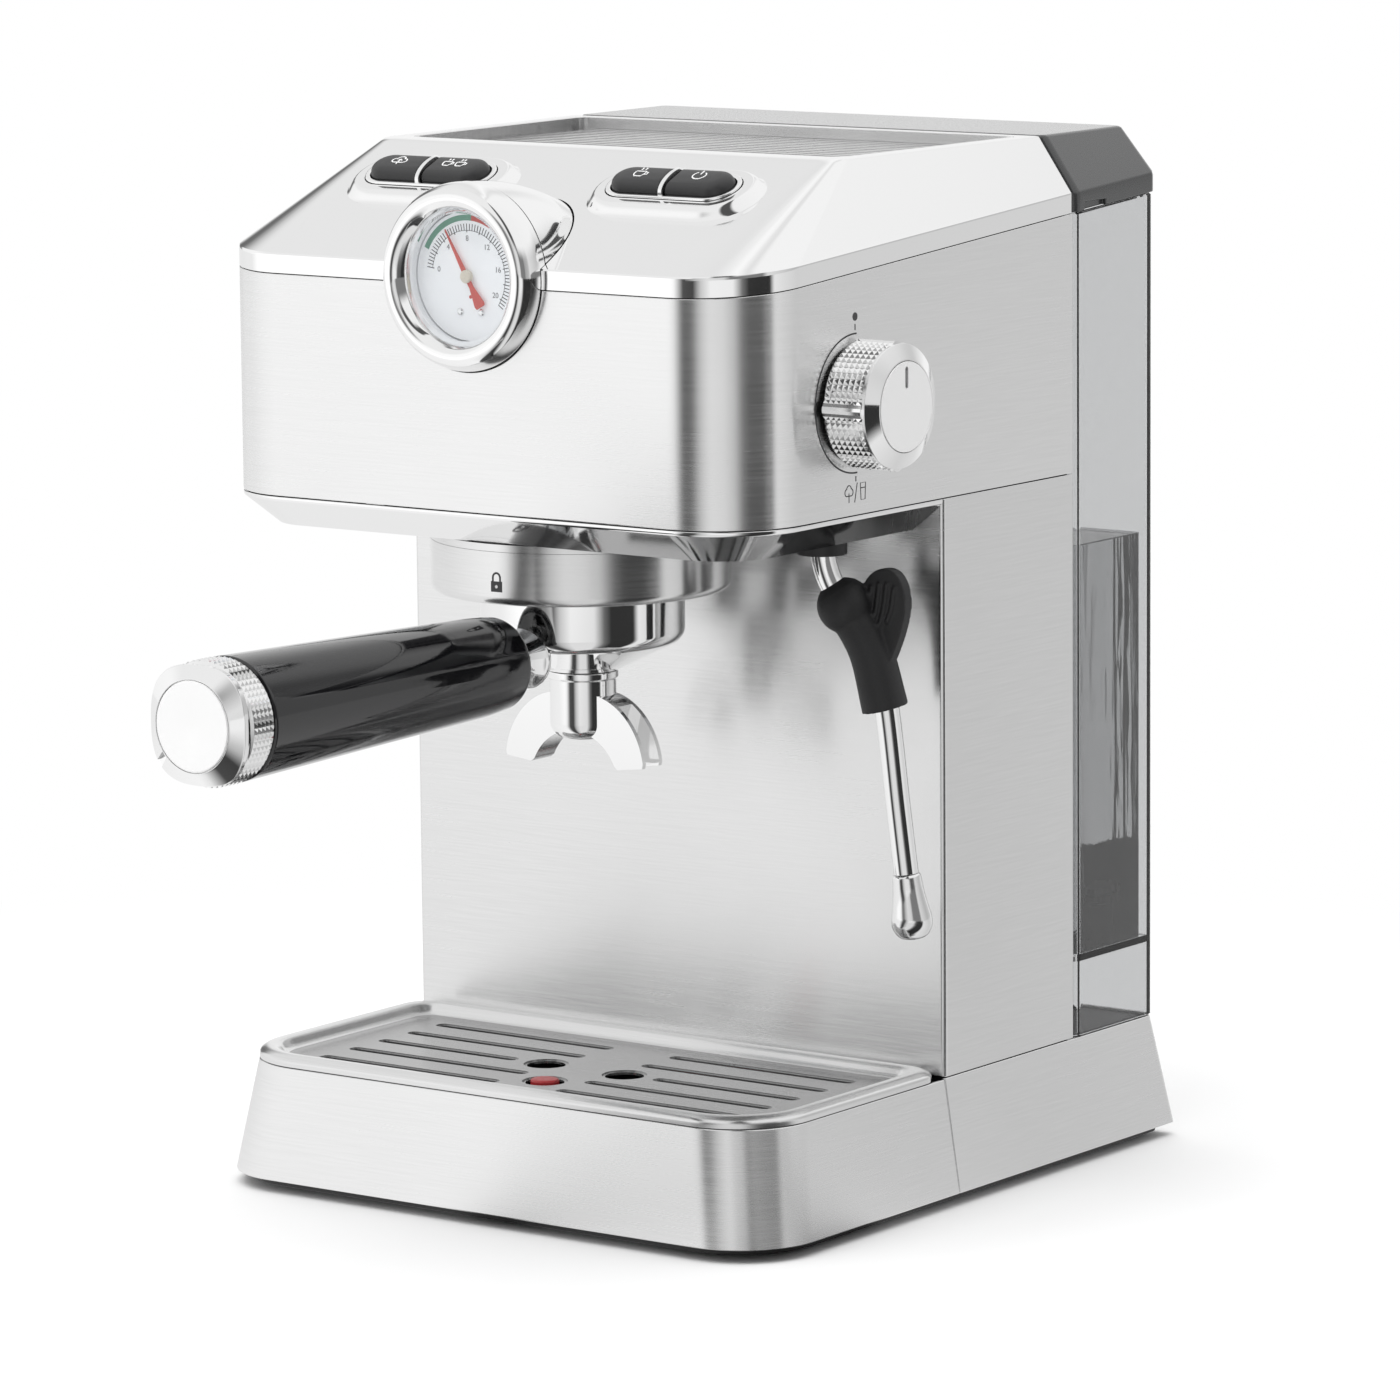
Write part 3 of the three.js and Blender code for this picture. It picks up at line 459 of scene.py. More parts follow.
def stands_for(piece, *nodes):
    """The piece takes the place and body of its CAD nodes, which are hidden."""
    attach(piece, BODY_OF[nodes[0]])
    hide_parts(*nodes)
    return piece


def goes_with(piece, node):
    """The piece is extra detail on a CAD node."""
    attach(piece, BODY_OF[node])
    return piece


# ---------------------------------------------------------------- materials


def link(tree, value, socket):
    if isinstance(value, bpy.types.NodeSocket):
        tree.links.new(value, socket)
    else:
        socket.default_value = value


def node(tree, kind, inputs=None, **settings):
    made = tree.nodes.new(kind)
    for name, value in settings.items():
        setattr(made, name, value)
    for name, value in (inputs or {}).items():
        link(tree, value, made.inputs[name])
    return made


def maths(tree, operation, first, second):
    return node(tree, "ShaderNodeMath", {0: first, 1: second}, operation=operation).outputs[0]


def principled(name, **inputs):
    """A material whose Principled shader has these inputs, with underscores for spaces."""
    material = bpy.data.materials.new(name)
    material.use_nodes = True
    shader = material.node_tree.nodes["Principled BSDF"]
    for key, value in inputs.items():
        shader.inputs[key.replace("_", " ")].default_value = value
    return material, material.node_tree, shader


def object_noise(tree, scale, detail=3.0, roughness=0.55):
    """Noise in the object's own space. A scale of three numbers stretches it into streaks."""
    place = node(tree, "ShaderNodeTexCoord").outputs["Object"]
    stretched = node(tree, "ShaderNodeMapping", {"Vector": place, "Scale": scale}).outputs["Vector"]
    texture = node(tree, "ShaderNodeTexNoise", {"Vector": stretched, "Scale": 1.0, "Detail": detail,
                                                "Roughness": roughness})
    return texture.outputs["Fac"]


def spread(tree, value, low, high, start=0.3, stop=0.7):
    """Maps a noise value to the range from low to high."""
    mapped = node(tree, "ShaderNodeMapRange", {"Value": value, "From Min": start, "From Max": stop,
                                               "To Min": low, "To Max": high})
    return mapped.outputs["Result"]


def tinted(tree, value, dark, light):
    """Mixes two colours by a noise value."""
    blend = node(tree, "ShaderNodeMix", data_type="RGBA")
    link(tree, value, blend.inputs[0])
    link(tree, (*dark, 1), blend.inputs[6])
    link(tree, (*light, 1), blend.inputs[7])
    return blend.outputs[2]


def bump(tree, height, strength, distance):
    inputs = {"Height": height, "Strength": strength, "Distance": distance}
    return node(tree, "ShaderNodeBump", inputs).outputs["Normal"]


def brushed(name, grain, light=0.91, roughness=0.24, anisotropy=0.85, along=None):
    """Brushed stainless steel. grain is the streaks' frequency per metre along x, y and z."""
    material, tree, shader = principled(name, Metallic=1.0, Anisotropic=anisotropy, Anisotropic_Rotation=0.25)
    fine = object_noise(tree, grain, detail=3)
    cloud = object_noise(tree, (14, 14, 14), detail=2)
    colour = tinted(tree, spread(tree, fine, 0, 1), (light * 0.95,) * 3, (light,) * 3)
    link(tree, colour, shader.inputs["Base Color"])
    rough = maths(tree, "ADD", spread(tree, fine, roughness - 0.02, roughness + 0.03),
                  spread(tree, cloud, -0.02, 0.03))
    link(tree, rough, shader.inputs["Roughness"])
    link(tree, bump(tree, fine, 0.03, 0.00005), shader.inputs["Normal"])
    if along:
        direction = node(tree, "ShaderNodeCombineXYZ", {"X": along[0], "Y": along[1], "Z": along[2]})
        link(tree, direction.outputs[0], shader.inputs["Tangent"])
    else:
        tangent = node(tree, "ShaderNodeTangent", direction_type="RADIAL", axis="Z")
        link(tree, tangent.outputs[0], shader.inputs["Tangent"])
    return material


def polished(name, light=0.97, roughness=0.045, smudge=0.03, metal=1.0):
    """Mirror-polished chrome with faint smears and hairline polishing marks."""
    material, tree, shader = principled(name, Metallic=metal, Base_Color=(light, light, light, 1))
    smear = object_noise(tree, (45, 45, 45), detail=4)
    hair = object_noise(tree, (260, 2600, 1400), detail=2)
    both = maths(tree, "ADD", spread(tree, smear, roughness, roughness + smudge),
                 spread(tree, hair, 0, 0.012))
    link(tree, both, shader.inputs["Roughness"])
    return material


def moulded(name, colour, roughness, grain=2600, depth=0.00004, strength=0.25, **extra):
    """Moulded plastic, rubber or cast metal with a fine grain and a slight tone variation."""
    material, tree, shader = principled(name, **extra)
    fine = object_noise(tree, (grain,) * 3, detail=2)
    cloud = object_noise(tree, (30, 30, 30), detail=3)
    link(tree, tinted(tree, spread(tree, cloud, 0, 1), tuple(c * 0.86 for c in colour), colour),
         shader.inputs["Base Color"])
    link(tree, spread(tree, fine, roughness - 0.04, roughness + 0.06), shader.inputs["Roughness"])
    link(tree, bump(tree, fine, strength, depth), shader.inputs["Normal"])
    return material


def clear(name, colour, roughness=0.015, ior=1.49, waves=0.06):
    """Clear moulded plastic, glass or water with upright flow marks."""
    material, tree, shader = principled(name, Transmission_Weight=1.0, IOR=ior, Base_Color=(*colour, 1))
    flow = object_noise(tree, (110, 110, 9), detail=2)
    link(tree, spread(tree, flow, roughness, roughness + 0.02), shader.inputs["Roughness"])
    link(tree, bump(tree, flow, waves, 0.0008), shader.inputs["Normal"])
    return material


def window(name):
    """A thin lens: clear, with a weak mirror image on it."""
    material, tree, shader = principled(name, Metallic=1.0)
    smear = object_noise(tree, (90, 90, 90), detail=3)
    link(tree, spread(tree, smear, 0.015, 0.05), shader.inputs["Roughness"])
    see_through = node(tree, "ShaderNodeBsdfTransparent", {"Color": (0.97, 0.975, 0.98, 1)})
    gloss = node(tree, "ShaderNodeFresnel", {"IOR": 1.35}).outputs[0]
    back = node(tree, "ShaderNodeNewGeometry").outputs["Backfacing"]
    image = maths(tree, "MULTIPLY", gloss, maths(tree, "SUBTRACT", 1.0, back))
    both = node(tree, "ShaderNodeMixShader", {0: image, 1: see_through.outputs[0], 2: shader.outputs[0]})
    link(tree, both.outputs[0], tree.nodes["Material Output"].inputs["Surface"])
    return material


def make_materials():
    wall_grain, cross_grain = (50, 50, 2200), (50, 2200, 50)
    return {
        "steel": brushed("brushed_steel_walls", wall_grain),
        # The column's steel is a darker copy of the wall steel, 0.86 against 0.91, as painted shade under the
        # head and behind the tray.
        "column": brushed("brushed_steel_column_shaded", wall_grain, light=0.86),
        # The drip plate's flat steel is darkened to light 0.5 as painted shade, for the field that lies under
        # the head.
        "steel_flat_painted_shade": brushed("brushed_steel_flat", cross_grain, light=0.5, roughness=0.24, along=(1, 0, 0)),
        "collar": brushed("brushed_steel_turned", wall_grain, light=0.86, roughness=0.22),
        "warmer": brushed("brushed_steel_warmer", cross_grain, light=0.75, roughness=0.2, along=(1, 0, 0)),
        "chrome": polished("chrome_polished"),
        "chrome_soft": polished("chrome_satin", light=0.9, roughness=0.09),
        "cap": polished("chrome_disc", light=0.96, roughness=0.2, metal=0.55),
        "black": moulded("black_plastic", (0.022, 0.022, 0.023), 0.5),
        "gloss": moulded("gloss_black", (0.006, 0.006, 0.007), 0.07, grain=500, depth=0.00001, strength=0.08,
                         Coat_Weight=0.6, Coat_Roughness=0.03),
        "button": moulded("button_black", (0.03, 0.03, 0.031), 0.42, grain=3600, strength=0.35),
        "silicone_black": moulded("silicone_black", (0.016, 0.016, 0.017), 0.55, grain=1800, strength=0.3),
        "rubber": moulded("rubber_black", (0.018, 0.018, 0.018), 0.75),
        "grey": moulded("grey_plastic", (0.034, 0.035, 0.036), 0.26, Coat_Weight=0.8, Coat_Roughness=0.12),
        "red": moulded("red_plastic", (0.5, 0.03, 0.035), 0.35, grain=900),
        "print_dark": moulded("print_grey", (0.06, 0.06, 0.062), 0.6),
        "print_mid": moulded("print_mid", (0.24, 0.24, 0.245), 0.6),
        "print_white": moulded("print_white", (0.85, 0.85, 0.85), 0.55),
        "print_green": moulded("print_green", (0.24, 0.47, 0.36), 0.55),
        "print_red": moulded("print_red", (0.72, 0.16, 0.14), 0.5),
        # The dial's white emission is painted light: a faint glow that brightens the dial in its recess
        # behind the lens, not a lamp.
        "dial": moulded("dial_enamel_painted_glow", (0.9, 0.91, 0.92), 0.4, grain=1400, strength=0.06,
                         Emission_Color=(0.95, 0.97, 1, 1), Emission_Strength=0.2),
        "cream": moulded("cream_plastic", (0.86, 0.8, 0.68), 0.4),
        "aluminium": moulded("cast_aluminium", (0.55, 0.56, 0.57), 0.36, grain=900, Metallic=1.0),
        "brass": moulded("turned_brass", (0.62, 0.44, 0.18), 0.28, grain=900, Metallic=1.0),
        "board": moulded("board_green", (0.03, 0.13, 0.06), 0.4, grain=700),
        "hose": moulded("silicone_hose", (0.7, 0.7, 0.66), 0.45),
        "tank": clear("clear_tank", (0.82, 0.825, 0.83)),
        "lens": window("clear_lens"),
        "water": clear("water", (0.5, 0.505, 0.51), roughness=0.0, ior=1.33, waves=0.25),
    }


MATERIALS = make_materials()


def smooth_by_angle():
    """Geometry nodes that weld a faceted CAD mesh and shade its shallow edges smooth."""
    group = bpy.data.node_groups.new("smooth_by_angle", "GeometryNodeTree")
    group.interface.new_socket("Geometry", in_out="INPUT", socket_type="NodeSocketGeometry")
    group.interface.new_socket("Geometry", in_out="OUTPUT", socket_type="NodeSocketGeometry")
    start = group.nodes.new("NodeGroupInput")
    weld = node(group, "GeometryNodeMergeByDistance", {"Geometry": start.outputs[0], "Distance": 1e-6})
    plain = node(group, "GeometryNodeRemoveAttribute", {"Geometry": weld.outputs[0], "Name": "custom_normal"})
    soft = node(group, "GeometryNodeSetShadeSmooth", {"Geometry": plain.outputs[0], "Shade Smooth": True},
                domain="FACE")
    angle = node(group, "GeometryNodeInputMeshEdgeAngle")
    steep = node(group, "FunctionNodeCompare", {0: angle.outputs[0], 1: math.radians(SMOOTH_BELOW)},
                 operation="GREATER_THAN")
    creased = node(group, "GeometryNodeSetShadeSmooth", {"Geometry": soft.outputs[0],
                                                         "Selection": steep.outputs[0],
                                                         "Shade Smooth": False}, domain="EDGE")
    end = group.nodes.new("NodeGroupOutput")
    group.links.new(creased.outputs[0], end.inputs[0])
    return group


SMOOTH = smooth_by_angle()


def keep(name, material, edge=0):
    """Shows a CAD node as it is, with a material, smooth shading and soft edges."""
    cad = frame["nodes"][name]
    paint(cad, material)
    cad.modifiers.new("smooth", "NODES").node_group = SMOOTH
    if edge:
        soften(cad, edge, SMOOTH_BELOW, 2)


# ---------------------------------------------------------------- base and drip tray


def make_base():
    keep("base_pan", "black", 0.3)
    keep("chassis", "black")
    keep("power_inlet", "rubber")
    for place in ("front_left", "front_right", "rear_left", "rear_right"):
        low, high = box_mm(f"foot_{place}")
        middle = (low + high) / 2
        radius = (high.x - low.x) / 2
        profile = fillet([(0, low.z), (radius - 0.2, low.z, 0.3), (radius, high.z), (0, high.z)])
        foot = turned(f"foot_{place}_pad", profile, upright(middle.x, middle.y), 48)
        stands_for(dress(foot, "rubber"), f"foot_{place}")

    def level(spread_out, inset, z):
        half, rear = HALF_WIDTH - inset + spread_out, REAR - inset + spread_out
        return lift(rear_wall(half, COLUMN_FRONT, rear, REAR_RADIUS - inset), z)

    skirt = wall("rear_skirt", [level(SKIRT_FLARE, 0, SKIRT_BOTTOM), level(0, 0, SKIRT_TOP),
                                level(0, SHEET, SKIRT_TOP), level(SKIRT_FLARE, SHEET, SKIRT_BOTTOM)])
    hole = turned("hole", [(INLET_RADIUS, -130), (INLET_RADIUS, -100)], forward(INLET_Z, INLET_X))
    stands_for(dress(cut(skirt, hole), "steel", 0.35), "rear_base_skirt")


def make_tray():
    keep("tray_tub", "black")

    def level(spread_out, inset, z):
        plan = front_wall(HALF_WIDTH - inset + spread_out, TRAY_FRONT + inset - spread_out, TRAY_REAR,
                          BASE_RADIUS - inset)
        return lift(plan, z)

    top = SKIRT_TOP - GAP
    skirt = wall("front_skirt", [level(SKIRT_FLARE, 0, SKIRT_BOTTOM), level(0, 0, top), level(0, SHEET, top),
                                 level(SKIRT_FLARE, SHEET, SKIRT_BOTTOM)])
    stands_for(dress(skirt, "steel", 0.35), "tray_skirt")

    def plan(inset):
        return outline(HALF_WIDTH - inset, TRAY_FRONT + inset, TRAY_REAR - inset, BASE_RADIUS - inset,
                       rear_radius=10 - inset / 2)

    under = GRID_FIELD - 1.2
    section = fillet([(10.5, under), (1.2, under), (1.2, SKIRT_TOP - 0.2), (0, SKIRT_TOP),
                      (0, SKIRT_TOP + 2.0, 1.2), (2.4, GRID_CREST, 1.6), (5.6, GRID_CREST, 1.4),
                      (7.6, GRID_FIELD + 0.9, 1.2), (10.5, GRID_FIELD, 1.2), (13, GRID_FIELD)], steps=5)
    grid = skin("drip_plate", [lift(plan(inset), z) for inset, z in section])
    tools = []

    def open_up(pressed, through, x, y):
        """Cuts a plan through the plate, and a shallow wider plan round it."""
        for points, bottom in ((pressed, GRID_FIELD - PRESSED_DEPTH), (through, under - 1)):
            tools.append(prism("opening", points, bottom, GRID_FIELD + 1, upright(x, y)))

    for row in range(-2, 3):
        inner = SLOT_INNER_END if row else MIDDLE_SLOT_INNER_END
        length = SLOT_OUTER_END - inner
        for side in (-1, 1):
            open_up(pill(length + 2 * PRESSED_RIM, SLOT_WIDTH + 2 * PRESSED_RIM, 8),
                    pill(length, SLOT_WIDTH, 8), side * (inner + SLOT_OUTER_END) / 2,
                    SLOT_MIDDLE_Y + row * SLOT_PITCH)
    for x, y in ((0, FLOAT_Y), (-FINGER_HOLE_X, SLOT_MIDDLE_Y), (FINGER_HOLE_X, SLOT_MIDDLE_Y)):
        open_up(circle(HOLE_RADIUS + 1, 40), circle(HOLE_RADIUS, 40), x, y)
    grid = dress(cut(grid, *tools), "steel_flat_painted_shade")
    # Painted shade: the sunken field keeps the darkened flat steel, and the faces above it get the lighter
    # turned steel, a lit copy.
    grid.data.materials.append(MATERIALS["collar"])
    for face in grid.data.polygons:
        middle = grid.matrix_world @ face.center / MM - OFFSET
        face.material_index = 1 if middle.z > GRID_FIELD + 0.6 else 0
    stands_for(grid, "drip_grid")

    low, high = box_mm("overflow_float")
    profile = fillet([(0, low.z), (9, low.z, 0.6), (9, low.z + 4, 0.6), (4.4, low.z + 5, 0.6),
                      (4.4, high.z - 0.2, 1.2), (3, high.z, 1), (0, high.z)])
    float_body = turned("float_body", profile, upright(0, FLOAT_Y), 48)
    stands_for(dress(float_body, "red"), "overflow_float")


# ---------------------------------------------------------------- column and head


def make_column():
    low, high = box_mm("column_shell")

    def level(inset, z):
        radius = max(1.6 - inset, 0.4)
        return lift(front_wall(HALF_WIDTH - inset, COLUMN_FRONT + inset, STEEL_REAR, radius), z)

    levels = [level(0, low.z), level(0, high.z), level(SHEET, high.z), level(SHEET, low.z)]
    shell = wall("column_wall", levels)
    stands_for(dress(shell, "column", 0.3), "column_shell")


def make_head():
    def level(inset, z, rear=STEEL_REAR):
        return lift(front_wall(HALF_WIDTH - inset, HEAD_FRONT + inset, rear, HEAD_RADIUS - inset), z)

    shell = wall("head_wall", [level(0, HEAD_BOTTOM), level(0, head_top), level(SHEET, head_top),
                               level(SHEET, HEAD_BOTTOM)])
    notch = turned("notch", [(GAUGE_RADIUS + GAP, 90), (GAUGE_RADIUS + GAP, 120)], forward(GAUGE_Z))
    bore = turned("bore", [(5, 90), (5, 110)], sideways(KNOB_Y, KNOB_Z), 48)
    stands_for(dress(cut(shell, notch, bore), "steel", 0.25), "head_shell")

    lip_top = HEAD_BOTTOM - GAP
    foot = box_mm("head_trim")[0].z
    section = fillet([(TRIM_INSET, foot), (0, lip_top - TRIM_LIP, 0.5), (0, lip_top, 0.3), (1.6, lip_top),
                      (1.6, lip_top - TRIM_LIP + 0.4), (TRIM_INSET + 1.6, foot)], closed=True)
    trim = wall("trim_chamfer", [level(inset, z, TRAY_REAR) for inset, z in section])
    stands_for(dress(trim, "chrome"), "head_trim")
    floor_top = box_mm("head_floor")[1].z
    plan = outline(HALF_WIDTH - 18, HEAD_FRONT + 18, TRAY_REAR, 12)
    plate = prism("head_plate", plan, floor_top - 0.8, floor_top)
    holes = [prism("hole", circle(radius, 64), floor_top - 5, floor_top + 5, upright(x, y))
             for x, y, radius in ((0, GROUP_Y, 44.5), (WAND_ROUTE[0][0], WAND_ROUTE[0][1], 8))]
    stands_for(dress(cut(plate, *holes), "aluminium"), "head_floor")
    profile = [(41, COLLAR_TOP + 0.1), (COLLAR_RADIUS, COLLAR_TOP + 0.1), (COLLAR_RADIUS, floor_top),
               (41, floor_top)]
    root = turned("collar_root", profile, upright(0, GROUP_Y), 128, loop=True)
    goes_with(dress(root, "collar"), "head_floor")
    keep("brew_head", "aluminium", 0.3)
    keep("group_gasket", "rubber")
    keep("shower_screen", "warmer")
    keep("shower_screw", "warmer")


def bullet_tail(radius, length, steps):
    """Profile of the gauge housing's round tail, from its widest circle to its tip."""
    angles = [math.pi / 2 * i / steps for i in range(steps + 1)]
    return [(radius * math.cos(angle), HOUSING_FRONT - length * math.sin(angle)) for angle in angles]


def button_boss(x):
    """The raised pad round a pair of buttons, which rises out of the cover in a smooth slope."""
    steps = [(1 - math.cos(math.pi * i / 12)) / 2 for i in range(13)]
    slope = [(3.0 + BOSS_SLOPE * (1 - i / 12), -BOSS_HEIGHT - 0.3 + (BOSS_HEIGHT + 0.3) * rise)
             for i, rise in enumerate(steps)]
    rings = [lift(pill(BUTTON_LENGTH + 4 + 2 * grow, BUTTON_WIDTH + 4 + 2 * grow), z) for grow, z in slope]
    rings.insert(0, lift(pill(BUTTON_LENGTH + 19, BUTTON_WIDTH + 19), -BOSS_HEIGHT - 1.2))
    return skin("boss", rings, on_panel(x))


def make_cover():
    def base(y):
        return head_top(y) + GAP

    side = outline(HALF_WIDTH, HEAD_FRONT, STEEL_REAR, HEAD_RADIUS)
    plateau = outline(PLATEAU_HALF_FRONT, PLATEAU_FRONT, STEEL_REAR, 6, PLATEAU_HALF_REAR)

    def side_in(inset):
        return outline(HALF_WIDTH - inset, HEAD_FRONT + inset, STEEL_REAR - inset, HEAD_RADIUS - inset)

    def plateau_in(inset):
        return outline(PLATEAU_HALF_FRONT - inset, PLATEAU_FRONT + inset, STEEL_REAR - inset, 6,
                       PLATEAU_HALF_REAR - inset)

    def well(grow):
        return outline(WELL_HALF_FRONT + grow, WELL_FRONT - grow, WELL_REAR + grow, 6 + grow,
                       WELL_HALF_REAR + grow, 5 + grow)

    rim = lift(side, lambda y: base(y) + RIM_BAND)
    crown = lift(plateau, TOP)
    levels = [
        lift(side, base),
        lift(side, lambda y: base(y) + RIM_BAND - 1.1),
        lift(side, lambda y: base(y) + RIM_BAND - 0.45),
        mix(rim, crown, 0.004),
        mix(rim, crown, 0.016),
        mix(rim, crown, 0.035),
        mix(rim, crown, 0.965),
        mix(rim, crown, 0.985),
        lift(plateau_in(0.6), TOP - 0.05),
        lift(plateau_in(1.6), TOP),
        lift(well(0.9), TOP),
        lift(well(0.3), TOP - 0.2),
        lift(well(0), TOP - 0.8),
        lift(well(0), TOP - 2.6),
        lift(well(1.4), TOP - 2.6),
        lift(well(1.4), TOP - 1.9),
        lift(plateau_in(2), TOP - 1.9),
        lift(side_in(1.8), lambda y: base(y) + RIM_BAND - 2),
        lift(side_in(1.8), base),
    ]
    cover = skin("cover_shell", levels, loop=True)
    bullet = [(GAUGE_RADIUS + 0.2, HOUSING_FRONT + 20),
              *bullet_tail(GAUGE_RADIUS + 0.2, HOUSING_LENGTH + 0.4, 24)]
    tools = [turned("bullet", bullet, forward(GAUGE_Z))]
    bosses = []
    for x in (-BUTTON_X, BUTTON_X):
        bosses.append(button_boss(x))
        tools.append(prism("hole", pill(BUTTON_LENGTH + 4.6, BUTTON_WIDTH + 4.6), -14, 12, on_panel(x)))
    united(cover, *bosses)
    stands_for(dress(cut(cover, *tools), "chrome", sharp=24), "top_cover")
    keep("cup_warmer_plate", "warmer", 0.4)


def half_pill(inset, side):
    """Outline of one button of a pair, which leaves room for the divider."""
    reach, radius = (BUTTON_LENGTH - BUTTON_WIDTH) / 2, BUTTON_WIDTH / 2 - inset
    near = 1.0 + 0.35 * inset
    points = [(near, -radius), *arc(reach, 0, radius, -90, 90, 16), (near, radius)]
    return [(side * x, y) for x, y in points]


CUP = [(-1.7, 1.1), (-1.7, -0.5), (-1.1, -1.5), (0.9, -1.5), (1.5, -0.5), (1.5, 1.1)]
CUP_HANDLE = [(1.5, 0.7), (2.3, 0.6), (2.3, -0.4), (1.5, -0.6)]


def cup_lines(x, y, scale):
    lines = [CUP + CUP[:1], CUP_HANDLE]
    lines += [[(-0.7 + 1.2 * i, 1.9), (-0.5 + 1.2 * i, 2.5), (-0.7 + 1.2 * i, 3.1)] for i in range(2)]
    return [[(x + px * scale, y + py * scale) for px, py in line] for line in lines]


def icon_lines(name):
    if name == "button_steam":
        cloud = (arc(-1.5, -0.2, 1.2, 80, 270, 10) + arc(1.5, -0.2, 1.2, -90, 100, 10)
                 + arc(0, 0.9, 1.4, 20, 160, 10))
        return [cloud + cloud[:1], [(0, -2.4), (0, 0.6)], [(-0.8, -0.2), (0, 0.7), (0.8, -0.2)]]
    if name == "button_two_cups":
        return cup_lines(-2.6, -0.4, 0.95) + cup_lines(2.2, -0.4, 0.95)
    if name == "button_one_cup":
        return cup_lines(-0.2, -0.5, 1.15)
    return [arc(0, 0, 2.2, 125, 415, 26), [(0, 0.6), (0, 3.0)]]


def make_buttons():
    for side, place in ((-1, "left"), (1, "right")):
        section = fillet([(0, -3), (0, 0.8, 0.5), (1.7, 0.8, 0.7), (1.7, -3)], closed=True)
        rings = [lift(pill(BUTTON_LENGTH + 4 - 2 * inset, BUTTON_WIDTH + 4 - 2 * inset), z)
                 for inset, z in section]
        surround = skin(f"surround_{place}", rings, on_panel(side * BUTTON_X), loop=True)
        half = BUTTON_WIDTH / 2 + 1.2
        angles = [math.pi * i / 24 for i in range(25)]
        arch = [(-half, -3), (half, -3),
                *[(half * math.cos(a), 0.4 + 4.1 * math.sin(a) ** 0.8) for a in angles]]
        divider = skin("divider", [[(x, y, z) for y, z in arch] for x in (-0.7, 0.7)],
                       on_panel(side * BUTTON_X))
        dress(united(surround, divider), "chrome", 0.15)
        stands_for(surround, f"button_frame_{place}")

    section = fillet([(0, -4.4), (0, 1.2, 0.8), (0.8, 2.9, 1.0), (2.6, 3.8, 1.2), (5.6, BUTTON_CROWN)],
                     steps=5)
    pairs = {"button_steam": (-1, -1), "button_two_cups": (-1, 1), "button_one_cup": (1, -1),
             "button_power": (1, 1)}
    for name, (pair, side) in pairs.items():
        rings = [lift(half_pill(inset, side), z) for inset, z in section]
        cap = skin(f"{name}_cap", rings, on_panel(pair * BUTTON_X))
        stands_for(dress(cap, "button", 0.25, sharp=50), name)
        middle = pair * BUTTON_X + side * 10.6
        strokes = [ribbon("stroke", [(x, y * 0.95) for x, y in line], 0.42, BUTTON_CROWN - 0.9,
                          BUTTON_CROWN + 0.06, on_panel(middle)) for line in icon_lines(name)]
        icon = joined(f"{name}_icon", strokes)
        goes_with(dress(icon, "print_white"), name)


# ---------------------------------------------------------------- pressure gauge


def clock(angle, radius):
    """A point on the dial, with its angle in degrees clockwise from upright."""
    return (radius * math.sin(math.radians(angle)), radius * math.cos(math.radians(angle)))


def dial_arc(start, stop, radius):
    steps = max(2, int(abs(stop - start) / 4))
    return [clock(start + (stop - start) * i / steps, radius) for i in range(steps + 1)]


def make_gauge():
    place = forward(GAUGE_Z)
    bullet = [(DIAL_RADIUS + 0.3, 84), (DIAL_RADIUS + 0.3, HOUSING_FRONT),
              *bullet_tail(GAUGE_RADIUS - 0.2, HOUSING_LENGTH, 32), (0.3, 84)]
    housing = turned("gauge_bullet", bullet, place, loop=True)
    stands_for(dress(housing, "chrome"), "gauge_housing")

    profile = fillet([(19.5, BEZEL_BACK), (GAUGE_RADIUS, BEZEL_BACK, 0.6), (GAUGE_RADIUS, 106.6, 3.2),
                      (25.8, 111.4, 3.2), (22.0, 111.6, 2.2), (19.7, 108.6, 2.4), (18.9, 106.4, 0.4),
                      (19.5, 106.2)], closed=True, steps=10)
    bezel = turned("gauge_ring", profile, place, 128, loop=True)
    stands_for(dress(bezel, "chrome"), "gauge_bezel")

    lens = turned("gauge_glass", fillet([(0, 105.2), (DIAL_RADIUS, 105.2), (DIAL_RADIUS, 105.9, 0.3),
                                         (12, 106.25, 4), (0, 106.3)]), place)
    stands_for(dress(lens, "lens"), "gauge_lens")
    make_dial(place)
    make_needle(place)


